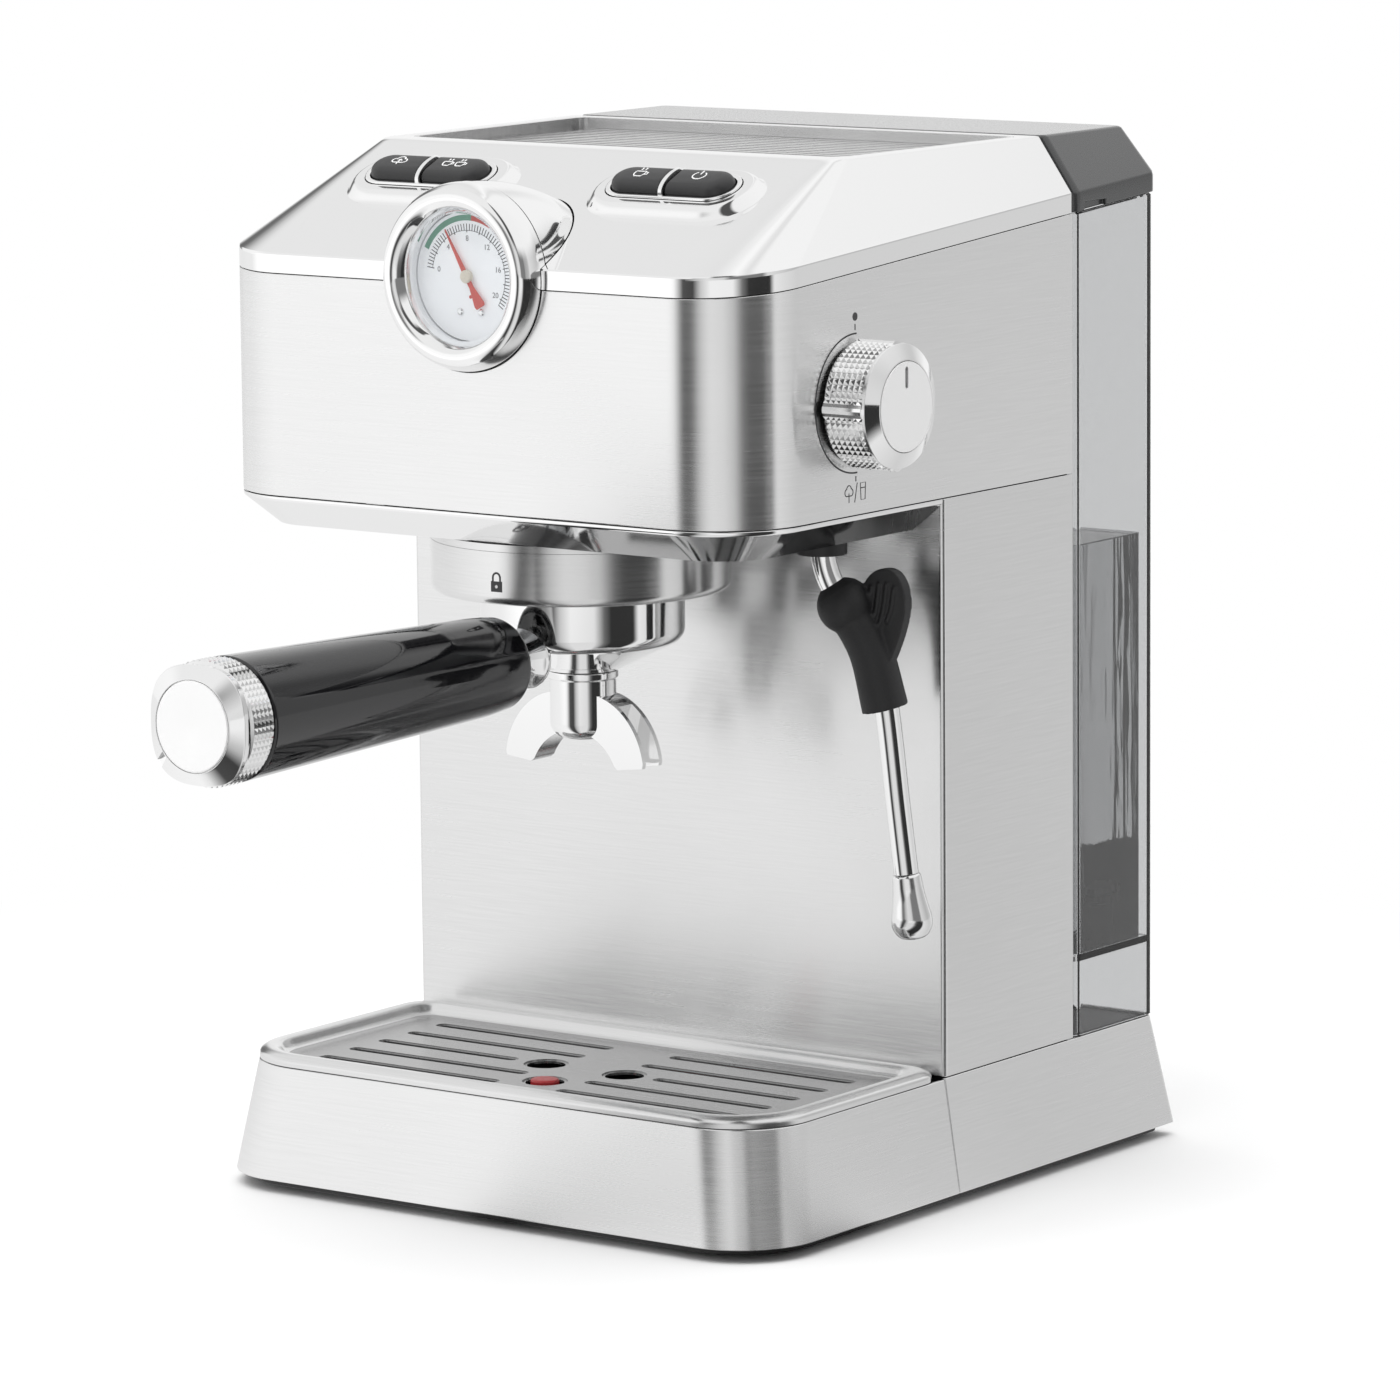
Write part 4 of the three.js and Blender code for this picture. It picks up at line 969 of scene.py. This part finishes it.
def make_dial(place):
    profile = [(0.9, 101.9), (DIAL_RADIUS, 101.9), (DIAL_RADIUS, 102.7), (0.9, 102.7)]
    dial = turned("dial_plate", profile, place, loop=True)
    stands_for(dress(dial, "dial"), "gauge_dial")

    low, high = 102.6, DIAL_FACE
    ticks = []
    for i in range(53):
        angle = DIAL_START + 4 * i
        inner = 13.0 if i % 5 == 0 else 13.6
        ticks.append(ribbon("tick", [clock(angle, inner), clock(angle, 15.6)], 0.24, low, high, place))
    ticks.append(ribbon("line", dial_arc(DIAL_START, DIAL_START + 208, 13.6), 0.14, low, high, place))
    goes_with(dress(joined("dial_ticks", ticks), "print_dark"), "gauge_dial")
    for name, start, stop in (("green", -64, 4), ("red", 4, 28)):
        band = ribbon(f"dial_band_{name}", dial_arc(start, stop, 17.4), 1.7, low, high, place)
        goes_with(dress(band, f"print_{name}"), "gauge_dial")
    numbers = []
    for i, value in enumerate(("0", "4", "8", "12", "16", "20")):
        x, z = clock(DIAL_START + 40 * i, 11.2)
        numbers.append(numeral(value, x, z, 2.3, place))
    goes_with(dress(joined("dial_numbers", numbers), "print_mid"), "gauge_dial")
    screws = []
    for x in (-3.2, 4.6):
        head = turned("screw", fillet([(0, low), (1.15, low), (1.15, 103.0, 0.2), (0.8, 103.2), (0, 103.2)]),
                      forward(GAUGE_Z - 10.6, x), 24)
        slot = prism("slot", [(-1.4, -0.16), (1.4, -0.16), (1.4, 0.16), (-1.4, 0.16)], 103.0, 104,
                     forward(GAUGE_Z - 10.6, x))
        screws.append(cut(head, slot))
    goes_with(dress(joined("dial_screws", screws), "chrome_soft"), "gauge_dial")
    dot = prism("dial_dot", circle(0.55, 20), low, high, forward(GAUGE_Z - 6.1, 0.6))
    goes_with(dress(dot, "print_red"), "gauge_dial")


def make_needle(place):
    turn = Matrix.Rotation(math.radians(NEEDLE_ANGLE), 3, "Z")
    arrow = [(-0.9, 0), (-0.75, -3.6), (-1.9, -9.4), (-1.6, -10.3), (1.6, -10.3), (1.9, -9.4),
             (0.75, -3.6), (0.9, 0), (0.18, 15.7), (-0.18, 15.7)]
    needle = prism("needle_blade", [tuple((turn @ Vector((x, y, 0)))[:2]) for x, y in arrow], 103.6, 104.0,
                   place)
    stands_for(dress(needle, "print_red", 0.08), "gauge_needle")
    profile = fillet([(0, 102.8), (0.7, 102.8), (0.7, 103.3), (2.0, 103.3), (2.0, 104.6, 0.5),
                      (0.6, 104.75, 0.3), (0, 104.6)])
    hub = turned("needle_hub", profile, place, 40)
    goes_with(dress(hub, "cream"), "gauge_needle")


def numeral(text, x, z, size, place):
    """A number on the dial, upright and centred at (x, z)."""
    curve = bpy.data.curves.new("numeral", "FONT")
    curve.body = text
    curve.size = size
    curve.align_x = "CENTER"
    curve.align_y = "CENTER"
    curve.extrude = 0.06
    holder = placed("numeral", curve)
    bpy.context.view_layer.update()
    flat = bpy.data.meshes.new_from_object(holder.evaluated_get(bpy.context.evaluated_depsgraph_get()))
    points = [(v.co.x + x, v.co.y + z, v.co.z + DIAL_FACE - 0.05) for v in flat.vertices]
    faces = [tuple(face.vertices) for face in flat.polygons]
    bpy.data.objects.remove(holder)
    return shape("numeral", points, faces, place)


# ---------------------------------------------------------------- brew group and portafilter


def make_group():
    here = upright(0, GROUP_Y)
    section = fillet([(41, COLLAR_BOTTOM + 1, 0.3), (42, COLLAR_BOTTOM, 0.4), (44.4, COLLAR_BOTTOM, 0.8),
                      (COLLAR_RADIUS, COLLAR_BOTTOM + 1.6, 1.0), (COLLAR_RADIUS, COLLAR_TOP),
                      (41, COLLAR_TOP)], closed=True, steps=6)
    collar = turned("collar_ring", section, here, 128, loop=True)
    stands_for(dress(collar, "collar"), "group_collar")

    body = fillet([(0.5, 192.1), (4.5, 192.1), (4.5, 195.3), (0.5, 195.3)])
    lock = [prism("lock", body, 0.0, 0.06, round_collar)]
    angles = [math.pi - math.pi * i / 12 for i in range(13)]
    shackle = [(1.2, 195.2), *[(2.5 + 1.3 * math.cos(a), 196.4 + 1.4 * math.sin(a)) for a in angles],
               (3.8, 195.2)]
    lock.append(ribbon("shackle", shackle, 0.6, 0.0, 0.06, round_collar))
    goes_with(dress(joined("lock_mark", lock), "print_dark"), "group_collar")
    hole = [(x + 2.5, y + 193.7) for x, y in circle(0.5, 20)]
    keyhole = prism("lock_keyhole", hole, 0.05, 0.09, round_collar)
    goes_with(dress(keyhole, "print_white"), "group_collar")


def sector(inner, outer, start, stop, steps=12):
    return arc(0, 0, inner, start, stop, steps) + arc(0, 0, outer, stop, start, steps)


def make_portafilter():
    here = upright(0, GROUP_Y)
    section = fillet([(4, 163), (11.5, 163, 0.5), (29.8, 172.0, 1.4), (FILTER_RADIUS, 174.4, 1.2),
                      (FILTER_RADIUS, 194), (27.8, 194), (27.8, 176, 1), (10, 169), (4, 168)], closed=True,
                     steps=6)
    bowl = turned("filter_holder", section, here, 128, loop=True)
    lugs = [prism("lug", sector(30.6, 36.4, middle - 14, middle + 14), 190.4, 193.8, here)
            for middle in (90, 270)]
    neck_profile = fillet([(0, 26), (10.4, 28, 3), (8.4, 33, 3), (7.4, 38, 2), (8.0, 42.6, 0.6), (6.6, 42.8),
                           (6.6, 59), (0, 59)], steps=6)
    neck = turned("neck", neck_profile, lambda p: (p[0], GROUP_Y - p[2], p[1] + HANDLE_Z), 64)
    bowl = united(bowl, neck, *lugs)
    clear_out = turned("hollow", [(27.8, 176), (27.8, 200)], here)
    stands_for(dress(cut(bowl, clear_out), "chrome"), "portafilter_body")
    keep("filter_basket", "warmer")

    make_spout(here)

    inner, outer = HANDLE_INNER, HANDLE_OUTER
    profile = fillet([(6.9, inner), (14.2, inner, 2.6), (15.0, inner + 10, 4), (18.4, outer - 0.6, 0.6),
                      (17.8, outer), (0, outer)], steps=8)
    profile = [(0.01, inner + 17), (6.9, inner + 17), *profile]
    grip = turned("handle_grip", profile, forward(HANDLE_Z), 128)
    stands_for(dress(grip, "gloss"), "portafilter_handle")

    start, stop = -box_mm("handle_knurl_ring")[1].y, -box_mm("handle_knurl_ring")[0].y
    band = knurled("handle_knurl", start, stop, 18.0, 18.6, 60, 5, 0.5, forward(HANDLE_Z))
    stands_for(dress(band, "chrome", sharp=10), "handle_knurl_ring")
    make_end_cap(-box_mm("handle_end_cap")[1].y, -box_mm("handle_end_cap")[0].y)


def knurled(name, start, stop, valley, peak, around, along, margin, place, plain=None):
    """A turned ring covered with small pyramids. plain gives the radius where a smooth rib runs, or None."""
    columns, rows = 2 * around, 2 * along
    rings = [lift(circle(valley - 1, columns), start)]
    for row in range(rows + 1):
        height = start + margin + (stop - start - 2 * margin) * row / rows
        ring = []
        for i in range(columns):
            angle = 2 * math.pi * i / columns
            radius = peak if row % 2 and i % 2 else valley
            if plain and plain(angle):
                radius = plain(angle)
            ring.append((radius * math.cos(angle), radius * math.sin(angle), height))
        rings.append(ring)
    rings.append(lift(circle(valley - 1, columns), stop))
    points = [p for ring in rings for p in ring]
    faces = [tuple(reversed(range(columns))), tuple(range(len(points) - columns, len(points)))]
    for k in range(len(rings) - 1):
        for i in range(columns):
            a, b = k * columns + i, k * columns + (i + 1) % columns
            c, d = b + columns, a + columns
            faces += [(a, b, c), (a, c, d)] if (k + i) % 2 else [(a, b, d), (b, c, d)]
    return shape(name, points, faces, place)


def squircle(half, power, steps=ROUND):
    points = []
    for i in range(steps):
        angle = 2 * math.pi * i / steps
        c, s = math.cos(angle), math.sin(angle)
        r = half / (abs(c) ** power + abs(s) ** power) ** (1 / power)
        points.append((r * c, r * s))
    return points


def make_end_cap(start, stop):
    place = forward(HANDLE_Z)
    disc, half = 13.5, 17.4
    rim = stop - 2.4
    rings = [lift(squircle(half - 0.6, 2.6), start), lift(squircle(half - 0.6, 2.6), start + 0.7),
             lift(squircle(half, 2.7), start + 1.0), lift(squircle(half, 2.7), rim - 0.3),
             lift(squircle(half - 0.3, 2.7), rim), lift(squircle(disc + 0.5, 2.02), stop - 0.3),
             lift(squircle(disc + 0.15, 2), stop - 0.1), lift(squircle(disc, 2), stop - 0.2),
             lift(squircle(disc - 0.1, 2), stop - 0.8)]
    cap = skin("end_cap_body", rings, place)
    turn = Matrix.Rotation(math.radians(130), 3, "Z")
    wedge = [(-1.1, disc + 0.4), (1.1, disc + 0.4), (1.5, 24), (-1.5, 24)]
    cut(cap, prism("notch", wedge, rim - 1.2, stop + 1, lambda p: place((turn @ Vector(p))[:])))
    stands_for(dress(cap, "chrome", 0.12, sharp=28), "handle_end_cap")
    profile = fillet([(0, stop - 1.2), (disc - 0.2, stop - 1.2), (disc - 0.2, stop - 0.1, 0.3),
                      (disc - 0.8, stop), (0, stop - 0.25)])
    face = turned("end_cap_disc", profile, place)
    goes_with(dress(face, "cap"), "handle_end_cap")


def bezier(a, b, c, d, steps=20):
    points = []
    for i in range(steps + 1):
        t = i / steps
        weights = ((1 - t) ** 3, 3 * t * (1 - t) ** 2, 3 * t * t * (1 - t), t ** 3)
        points.append(tuple(sum(w * p[k] for w, p in zip(weights, (a, b, c, d))) for k in range(2)))
    return points


def make_spout(here):
    def slab(name, side, points, half):
        rings = [[(side * x, y, z) for x, z in points] for y in (-half, half)]
        return skin(name, rings, here)

    arms = []
    for side in (-1, 1):
        outer = bezier((7, 156), (16.5, 155), (24.4, 147), (26, 136.2))
        tip = [(25.7, 134.8), (16.4, 133.7)]
        inner = bezier((15.2, 134.6), (13, 139), (9.5, 142.8), (3, 144))
        arm = slab("arm", side, outer + tip + inner, 5)
        groove = slab("groove", side, bezier((11.2, 165), (16.5, 152), (19.4, 144), (19.4, 125))
                      + [(45, 125), (45, 165)], 3.4)
        arms.append(cut(arm, groove))
    profile = fillet([(0, 141.6), (6.5, 141.6, 3), (10.2, 144.6, 3), (10.2, 160.2, 0.2), (10.9, 160.6, 0.3),
                      (10.9, 162.7, 0.4), (0, 162.7)], steps=8)
    stem = turned("spout_body", profile, here)
    united(stem, *arms)
    channel = turned("channel", [(4, 148), (4, 170)], here, 40)
    stands_for(dress(cut(stem, channel), "chrome", 0.8, sharp=30), "spout")


# ---------------------------------------------------------------- steam knob and wand


def make_knob():
    place = sideways(KNOB_Y, KNOB_Z)
    rib_half = math.radians(8)

    def rib(angle):
        off = min(abs((angle - k * math.pi / 2 + math.pi) % (2 * math.pi) - math.pi) for k in range(4))
        return KNOB_RADIUS - 1.0 * (off / rib_half) ** 2 if off < rib_half else None

    chamfer = KNOB_FACE - 3.0
    grip = knurled("knob_grip", KNOB_BACK, chamfer, 18.3, 19.0, 60, 7, 0.4, place, rib)
    stands_for(dress(grip, "chrome", sharp=12), "steam_knob")
    rings = [lift(circle(17.8), chamfer - 0.8), lift(squircle(18.4, 2.1), chamfer - 0.6),
             lift(squircle(18.5, 2.1), chamfer + 0.5), lift(circle(14.0), KNOB_FACE - 0.25),
             lift(circle(13.6), KNOB_FACE - 0.2), lift(circle(13.5), KNOB_FACE - 1.3)]
    front = skin("knob_front", rings, place)
    goes_with(dress(front, "chrome", 0.12, sharp=24), "steam_knob")
    face = turned("knob_disc", fillet([(0, KNOB_FACE - 1.2), (13.4, KNOB_FACE - 1.2),
                                       (13.4, KNOB_FACE, 0.25), (0, KNOB_FACE)]), place)

    def pointer(name, length, width, low, high):
        points = [(x - KNOB_POINTER_X, y) for x, y in pill(length, width, 10)]
        return prism(name, points, KNOB_FACE + low, KNOB_FACE + high, place)

    slot = pointer("slot", 6.6, 1.5, -0.6, 2)
    stands_for(dress(cut(face, slot), "cap"), "knob_cap")
    mark = pointer("knob_mark", 6.2, 1.0, -0.9, -0.45)
    goes_with(dress(mark, "print_dark"), "knob_cap")
    keep("valve_stem", "brass")
    keep("steam_valve", "brass")
    make_knob_prints()


def make_knob_prints():
    """The knob's range, an off dot and a steam and hot water mark, printed on the head's side."""
    def printed(points, width=0.3, closed=False):
        return ribbon("print", points, width, 0.0, 0.06, on_knob_side, closed)

    prints = [printed(arc(0, 0, 20.6, 88, 272, 60), 0.5), printed([(0, 21.6), (0, 23.4)], 0.4),
              printed([(0, -21.6), (0, -23.2)], 0.4), printed([(0.7, -23.6), (-0.7, -29.4)]),
              prism("dot", [(x, y + 25.6) for x, y in circle(1.25, 24)], 0.0, 0.06, on_knob_side)]
    cloud = (arc(-4.6, -26.2, 1.1, 90, 250, 8) + arc(-2.6, -26.2, 1.1, -70, 90, 8)
             + arc(-3.6, -25.3, 1.2, 10, 170, 8))
    glass = [(2.3, -23.9), (5.0, -23.9), (4.7, -28.9), (2.6, -28.9)]
    prints += [printed(cloud, closed=True), printed([(-3.6, -29.2), (-3.6, -26.4)]),
               printed(glass, closed=True), printed([(2.5, -25.4), (4.8, -25.4)])]
    goes_with(dress(joined("knob_prints", prints), "print_dark"), "head_shell")


def make_wand():
    keep("wand_feed_pipe", "aluminium")
    keep("wand_bush", "black")
    pipe = swept("wand_tube", WAND_ROUTE, circle(WAND_RADIUS, 32), samples=10)
    stands_for(dress(pipe, "chrome"), "wand_pipe")

    route = [(79.6, -28.3, 190.4), (83.5, -26.5, 184), (89.5, -24, 172), (93.2, -22, 155)]
    sleeve = swept("grip_body", route,
                   lambda share: circle(6.9 - 0.4 * math.sin(math.pi * share) + 0.2 * share, 40), samples=12)
    angles = [math.pi * (i + 0.02) / 24.04 for i in range(25)]
    bulb = turned("bulb", [(8.5 * math.sin(a), -8.5 * math.cos(a)) for a in angles],
                  upright(82.2, -27, 186), 48)
    leaf_line = (bezier((84, 178), (84.5, 189), (88, 197.6), (95, 197.8))
                 + bezier((95, 197.8), (101, 197.8), (103, 191), (102.2, 185))[1:]
                 + bezier((102.2, 185), (101, 178), (98, 172), (94, 164))[1:] + [(88, 166)])
    leaf = skin("leaf", [[(x, y, z) for x, z in leaf_line] for y in (-25.0, -20.8)])
    ridges = []
    for k in range(4):
        x = 90.2 + 2.7 * k
        route = [(x - 2.2, -25.4, 178 + 1.2 * k), (x - 0.4, -25.4, 186), (x + 0.6, -25.2, 194 - abs(k - 1.5))]
        ridges.append(swept("ridge", route, circle(0.75, 12), samples=8))
    whole = joined("wand_sleeve", [sleeve, bulb, leaf, *ridges])
    remesh = whole.modifiers.new("blend", "REMESH")
    remesh.mode = "VOXEL"
    remesh.voxel_size = 0.45 * MM
    settled(whole)
    melt = whole.modifiers.new("melt", "SMOOTH")
    melt.factor = 0.5
    melt.iterations = 5
    settled(whole)
    bore = swept("bore", WAND_ROUTE, circle(WAND_RADIUS + 0.3, 24), samples=8)
    stands_for(dress(cut(whole, bore), "silicone_black", sharp=50), "wand_grip")

    end = Vector(WAND_ROUTE[-1])
    down = Vector((2.4, 3, -33)).normalized()
    turn = Vector((0, 0, -1)).rotation_difference(down).to_matrix()
    profile = fillet([(0, 0.3), (3.9, 0.3, 0.2), (4.4, 0.9, 0.4), (4.9, 7, 4), (6.3, 14, 3), (6.3, 16.6, 2),
                      (4.6, 19.8, 2), (1.6, NOZZLE_LENGTH, 0.6), (0, NOZZLE_LENGTH)], steps=6)
    nozzle = turned("wand_tip", profile, lambda p: tuple(end + turn @ Vector((p[0], p[1], -p[2]))), 64)
    stands_for(dress(nozzle, "chrome_soft"), "wand_nozzle")


# ---------------------------------------------------------------- water tank


def make_tank():
    def plan(inset, radius=3, back=0):
        return outline(HALF_WIDTH - inset, TANK_FRONT + inset, REAR - back - inset, radius,
                       rear_radius=radius)

    def inner(inset):
        return plan(inset, 1.4)

    def rim(y):
        return head_top(y) - GAP

    bottom = box_mm("water_tank")[0].z
    tank = skin("tank_body", [
        lift(inner(TANK_WALL), TANK_FLOOR - TANK_WALL), lift(inner(TANK_WALL), bottom),
        lift(plan(0.3), bottom), lift(plan(0), bottom + 0.3), lift(plan(0), lambda y: rim(y) - 0.4),
        lift(plan(0.4), rim), lift(inner(TANK_WALL - 0.4), rim),
        lift(inner(TANK_WALL), lambda y: rim(y) - 0.4),
        lift(inner(TANK_WALL), TANK_FLOOR)])
    stands_for(dress(tank, "tank"), "water_tank")

    def pool(inset):
        return plan(inset, 1.4, WATER_SETBACK)

    water = skin("water_fill", [lift(pool(TANK_WALL + 0.1), TANK_FLOOR + 0.1),
                                lift(pool(TANK_WALL + 0.1), WATER_LEVEL),
                                lift(pool(TANK_WALL + 1.2), WATER_LEVEL - 0.5)])
    goes_with(dress(water, "water"), "water_tank")

    def lid_level(inset, narrow, z):
        points = outline(HALF_WIDTH - inset - narrow, TANK_FRONT + inset, LID_REAR - inset, 3 - min(inset, 2),
                         rear_radius=3 - min(inset, 2))
        return lift(points, z)

    narrow = HALF_WIDTH - PLATEAU_HALF_REAR
    band = lid_level(0, 0, lambda y: head_top(y) + RIM_BAND)
    crown = lid_level(0, narrow, TOP)
    lid = skin("lid_shell", [
        lid_level(2.4, 0, head_top), lid_level(0, 0, head_top), lid_level(0, 0, lambda y: head_top(y) + 5.2),
        mix(band, crown, 0.03), mix(band, crown, 0.96), lid_level(0.5, narrow, TOP - 0.1),
        lid_level(1.3, narrow, TOP)])
    inside = skin("inside", [lid_level(2.4, 0, lambda y: head_top(y) - 5),
                             lid_level(2.4, 0, lambda y: head_top(y) + 4), lid_level(2.4, narrow, TOP - 2.4)])
    near, far = FINGER_Y - FINGER_HALF, FINGER_Y + FINGER_HALF
    finger = prism("finger", [(HALF_WIDTH - 1.4, near), (HALF_WIDTH + 4, near), (HALF_WIDTH + 4, far),
                              (HALF_WIDTH - 1.4, far)], 290, head_top(FINGER_Y) + 2.2)
    stands_for(dress(cut(lid, inside, finger), "grey", 0.35, sharp=30), "tank_lid")
    keep("tank_valve", "rubber")
    keep("tank_dock", "grey", 0.5)


def make_works():
    for name, material in (("pump", "black"), ("boiler", "aluminium"), ("suction_hose", "hose"),
                           ("pressure_pipe", "aluminium"), ("steam_pipe", "aluminium"),
                           ("circuit_board", "board")):
        keep(name, material)


# ---------------------------------------------------------------- studio and camera


def make_camera():
    camera = bpy.data.cameras.new("camera")
    camera.sensor_width = 36
    camera.lens = CAMERA_LENS
    camera.clip_start, camera.clip_end = 0.05, 60
    holder = placed("camera", camera)
    azimuth, elevation, roll = map(math.radians, (CAMERA_AZIMUTH, CAMERA_ELEVATION, CAMERA_ROLL))
    right = Vector((math.cos(azimuth), math.sin(azimuth), 0))
    back = Vector((math.sin(azimuth) * math.cos(elevation), -math.cos(azimuth) * math.cos(elevation),
                   math.sin(elevation)))
    up = back.cross(right)
    across = math.cos(roll) * right + math.sin(roll) * up
    over = -math.sin(roll) * right + math.cos(roll) * up
    matrix = Matrix((across, over, back)).transposed().to_4x4()
    matrix.translation = (Vector(CAMERA_PLACE) + OFFSET) * MM
    holder.matrix_world = matrix
    bpy.context.scene.camera = holder


# Brightness of the studio by compass angle, in degrees from the front towards the right: in the walls,
# in the floor as a vertical mirror sees it, and overhead.
WALLS = [(-180, 0.92), (-136, 0.92), (-131, 0.15), (-116, 0.15), (-108, 0.9), (-60, 0.97), (-30, 1.0),
         (-24, 0.9), (-15, 0.18), (-6, 0.2), (4, 0.5), (18, 0.75), (38, 0.66), (46, 0.2), (86, 0.2),
         (93, 0.72), (112, 0.62), (135, 0.48), (165, 0.6), (180, 0.92)]
GROUND = [(-180, 0.92), (-110, 0.86), (-60, 0.94), (-30, 0.98), (-22, 0.85), (-10, 0.07), (3, 0.05),
          (12, 0.5), (24, 0.78), (50, 0.76), (61, 0.15), (69, 0.03), (96, 0.03), (102, 0.84), (116, 0.76),
          (140, 0.66), (165, 0.75), (180, 0.92)]
SKY = [(-180, 0.92), (-168, 0.92), (-158, 0.76), (-148, 0.98), (-136, 0.78), (-118, 0.84), (18, 0.86),
       (25, 0.08), (46, 0.08), (54, 0.88), (150, 0.92), (180, 0.92)]


def studio_level(tree, vector, levels):
    """Brightness in a horizontal direction, and the direction's own Y and Z."""
    parts = node(tree, "ShaderNodeSeparateXYZ", {"Vector": vector})
    angle = maths(tree, "ARCTAN2", parts.outputs["X"], maths(tree, "MULTIPLY", parts.outputs["Y"], -1.0))
    share = node(tree, "ShaderNodeMapRange", {"Value": angle, "From Min": -math.pi, "From Max": math.pi})
    ramp = node(tree, "ShaderNodeValToRGB", {"Fac": share.outputs["Result"]})
    stops = ramp.color_ramp.elements
    for i, (degrees, level) in enumerate(levels):
        place = (degrees + 180) / 360
        stop = stops[i] if i < 2 else stops.new(place)
        stop.position = place
        stop.color = (level, level, level, 1)
    return ramp.outputs["Color"], parts.outputs["Y"], parts.outputs["Z"]


def make_floor():
    """Pale paper that turns white far out. In a mirror it shows the studio's bands instead."""
    size = 9.0
    mesh = bpy.data.meshes.new("floor")
    corners = [(-size, -size, 0), (size, -size, 0), (size, size, 0), (-size, size, 0)]
    mesh.from_pydata(corners, [], [(0, 1, 2, 3)])
    floor = placed("floor", mesh)
    material, tree, paper = principled("floor_paper", Roughness=0.9, Specular_IOR_Level=0.0)
    paper.inputs["Base Color"].default_value = (0.9, 0.9, 0.9, 1)
    place = node(tree, "ShaderNodeTexCoord").outputs["Object"]
    away = node(tree, "ShaderNodeVectorMath", {0: place}, operation="LENGTH").outputs["Value"]
    far = node(tree, "ShaderNodeMapRange", {"Value": away, "From Min": 0.2, "From Max": 0.55},
               interpolation_type="SMOOTHSTEP").outputs["Result"]
    white = node(tree, "ShaderNodeEmission", {"Color": (1, 1, 1, 1), "Strength": 1.0})
    seen = node(tree, "ShaderNodeMixShader", {0: far, 1: paper.outputs[0], 2: white.outputs[0]})
    level, behind, _ = studio_level(tree, place, GROUND)
    near = node(tree, "ShaderNodeMapRange", {"Value": behind, "From Min": -0.5, "From Max": -0.1,
                                             "To Min": 0.93, "To Max": 0.95})
    distant = node(tree, "ShaderNodeMapRange", {"Value": behind, "From Min": -1.2, "From Max": -0.6,
                                                "To Min": 0.2, "To Max": 0.0})
    strength = maths(tree, "ADD", near.outputs[0], distant.outputs[0])
    mirrored = node(tree, "ShaderNodeEmission", {"Color": level, "Strength": strength})
    path = node(tree, "ShaderNodeLightPath")
    out = node(tree, "ShaderNodeMixShader", {0: path.outputs["Is Glossy Ray"], 1: seen.outputs[0],
                                             2: mirrored.outputs[0]})
    link(tree, out.outputs[0], tree.nodes["Material Output"].inputs["Surface"])
    mesh.materials.append(material)


def make_studio():
    scene = bpy.context.scene
    scene.view_settings.view_transform = "Standard"
    make_floor()

    world = bpy.data.worlds.new("studio")
    scene.world = world
    world.use_nodes = True
    tree = world.node_tree
    tree.nodes.clear()
    direction = node(tree, "ShaderNodeTexCoord").outputs["Generated"]
    level, _, height = studio_level(tree, direction, WALLS)
    sky = studio_level(tree, direction, SKY)[0]
    above = node(tree, "ShaderNodeMapRange", {"Value": height, "From Min": 0.28, "From Max": 0.55},
                 interpolation_type="SMOOTHSTEP").outputs["Result"]
    colour = node(tree, "ShaderNodeMix", data_type="RGBA")
    link(tree, above, colour.inputs[0])
    link(tree, level, colour.inputs[6])
    link(tree, sky, colour.inputs[7])
    studio = node(tree, "ShaderNodeBackground", {"Color": colour.outputs[2], "Strength": 1.0})
    backdrop = node(tree, "ShaderNodeBackground", {"Color": (1, 1, 1, 1), "Strength": 1.0})
    path = node(tree, "ShaderNodeLightPath")
    mixed = node(tree, "ShaderNodeMixShader", {0: path.outputs["Is Camera Ray"], 1: studio.outputs[0],
                                               2: backdrop.outputs[0]})
    out = tree.nodes.new("ShaderNodeOutputWorld")
    tree.links.new(mixed.outputs[0], out.inputs[0])

    for name, place, power, width in (("key", (-1.0, -1.4, 2.2), 14, 2.0), ("top", (0.0, 0.0, 2.6), 60, 3.5)):
        light = bpy.data.lights.new(name, "AREA")
        light.energy = power
        light.size = width
        holder = placed(name, light)
        holder.location = place
        aim = Vector((0, 0, 0.15)) - Vector(place)
        holder.rotation_euler = aim.to_track_quat("-Z", "Y").to_euler()
        holder.visible_glossy = False


make_camera()
make_studio()
make_base()
make_tray()
make_column()
make_head()
make_cover()
make_buttons()
make_gauge()
make_group()
make_portafilter()
make_knob()
make_wand()
make_tank()
make_works()
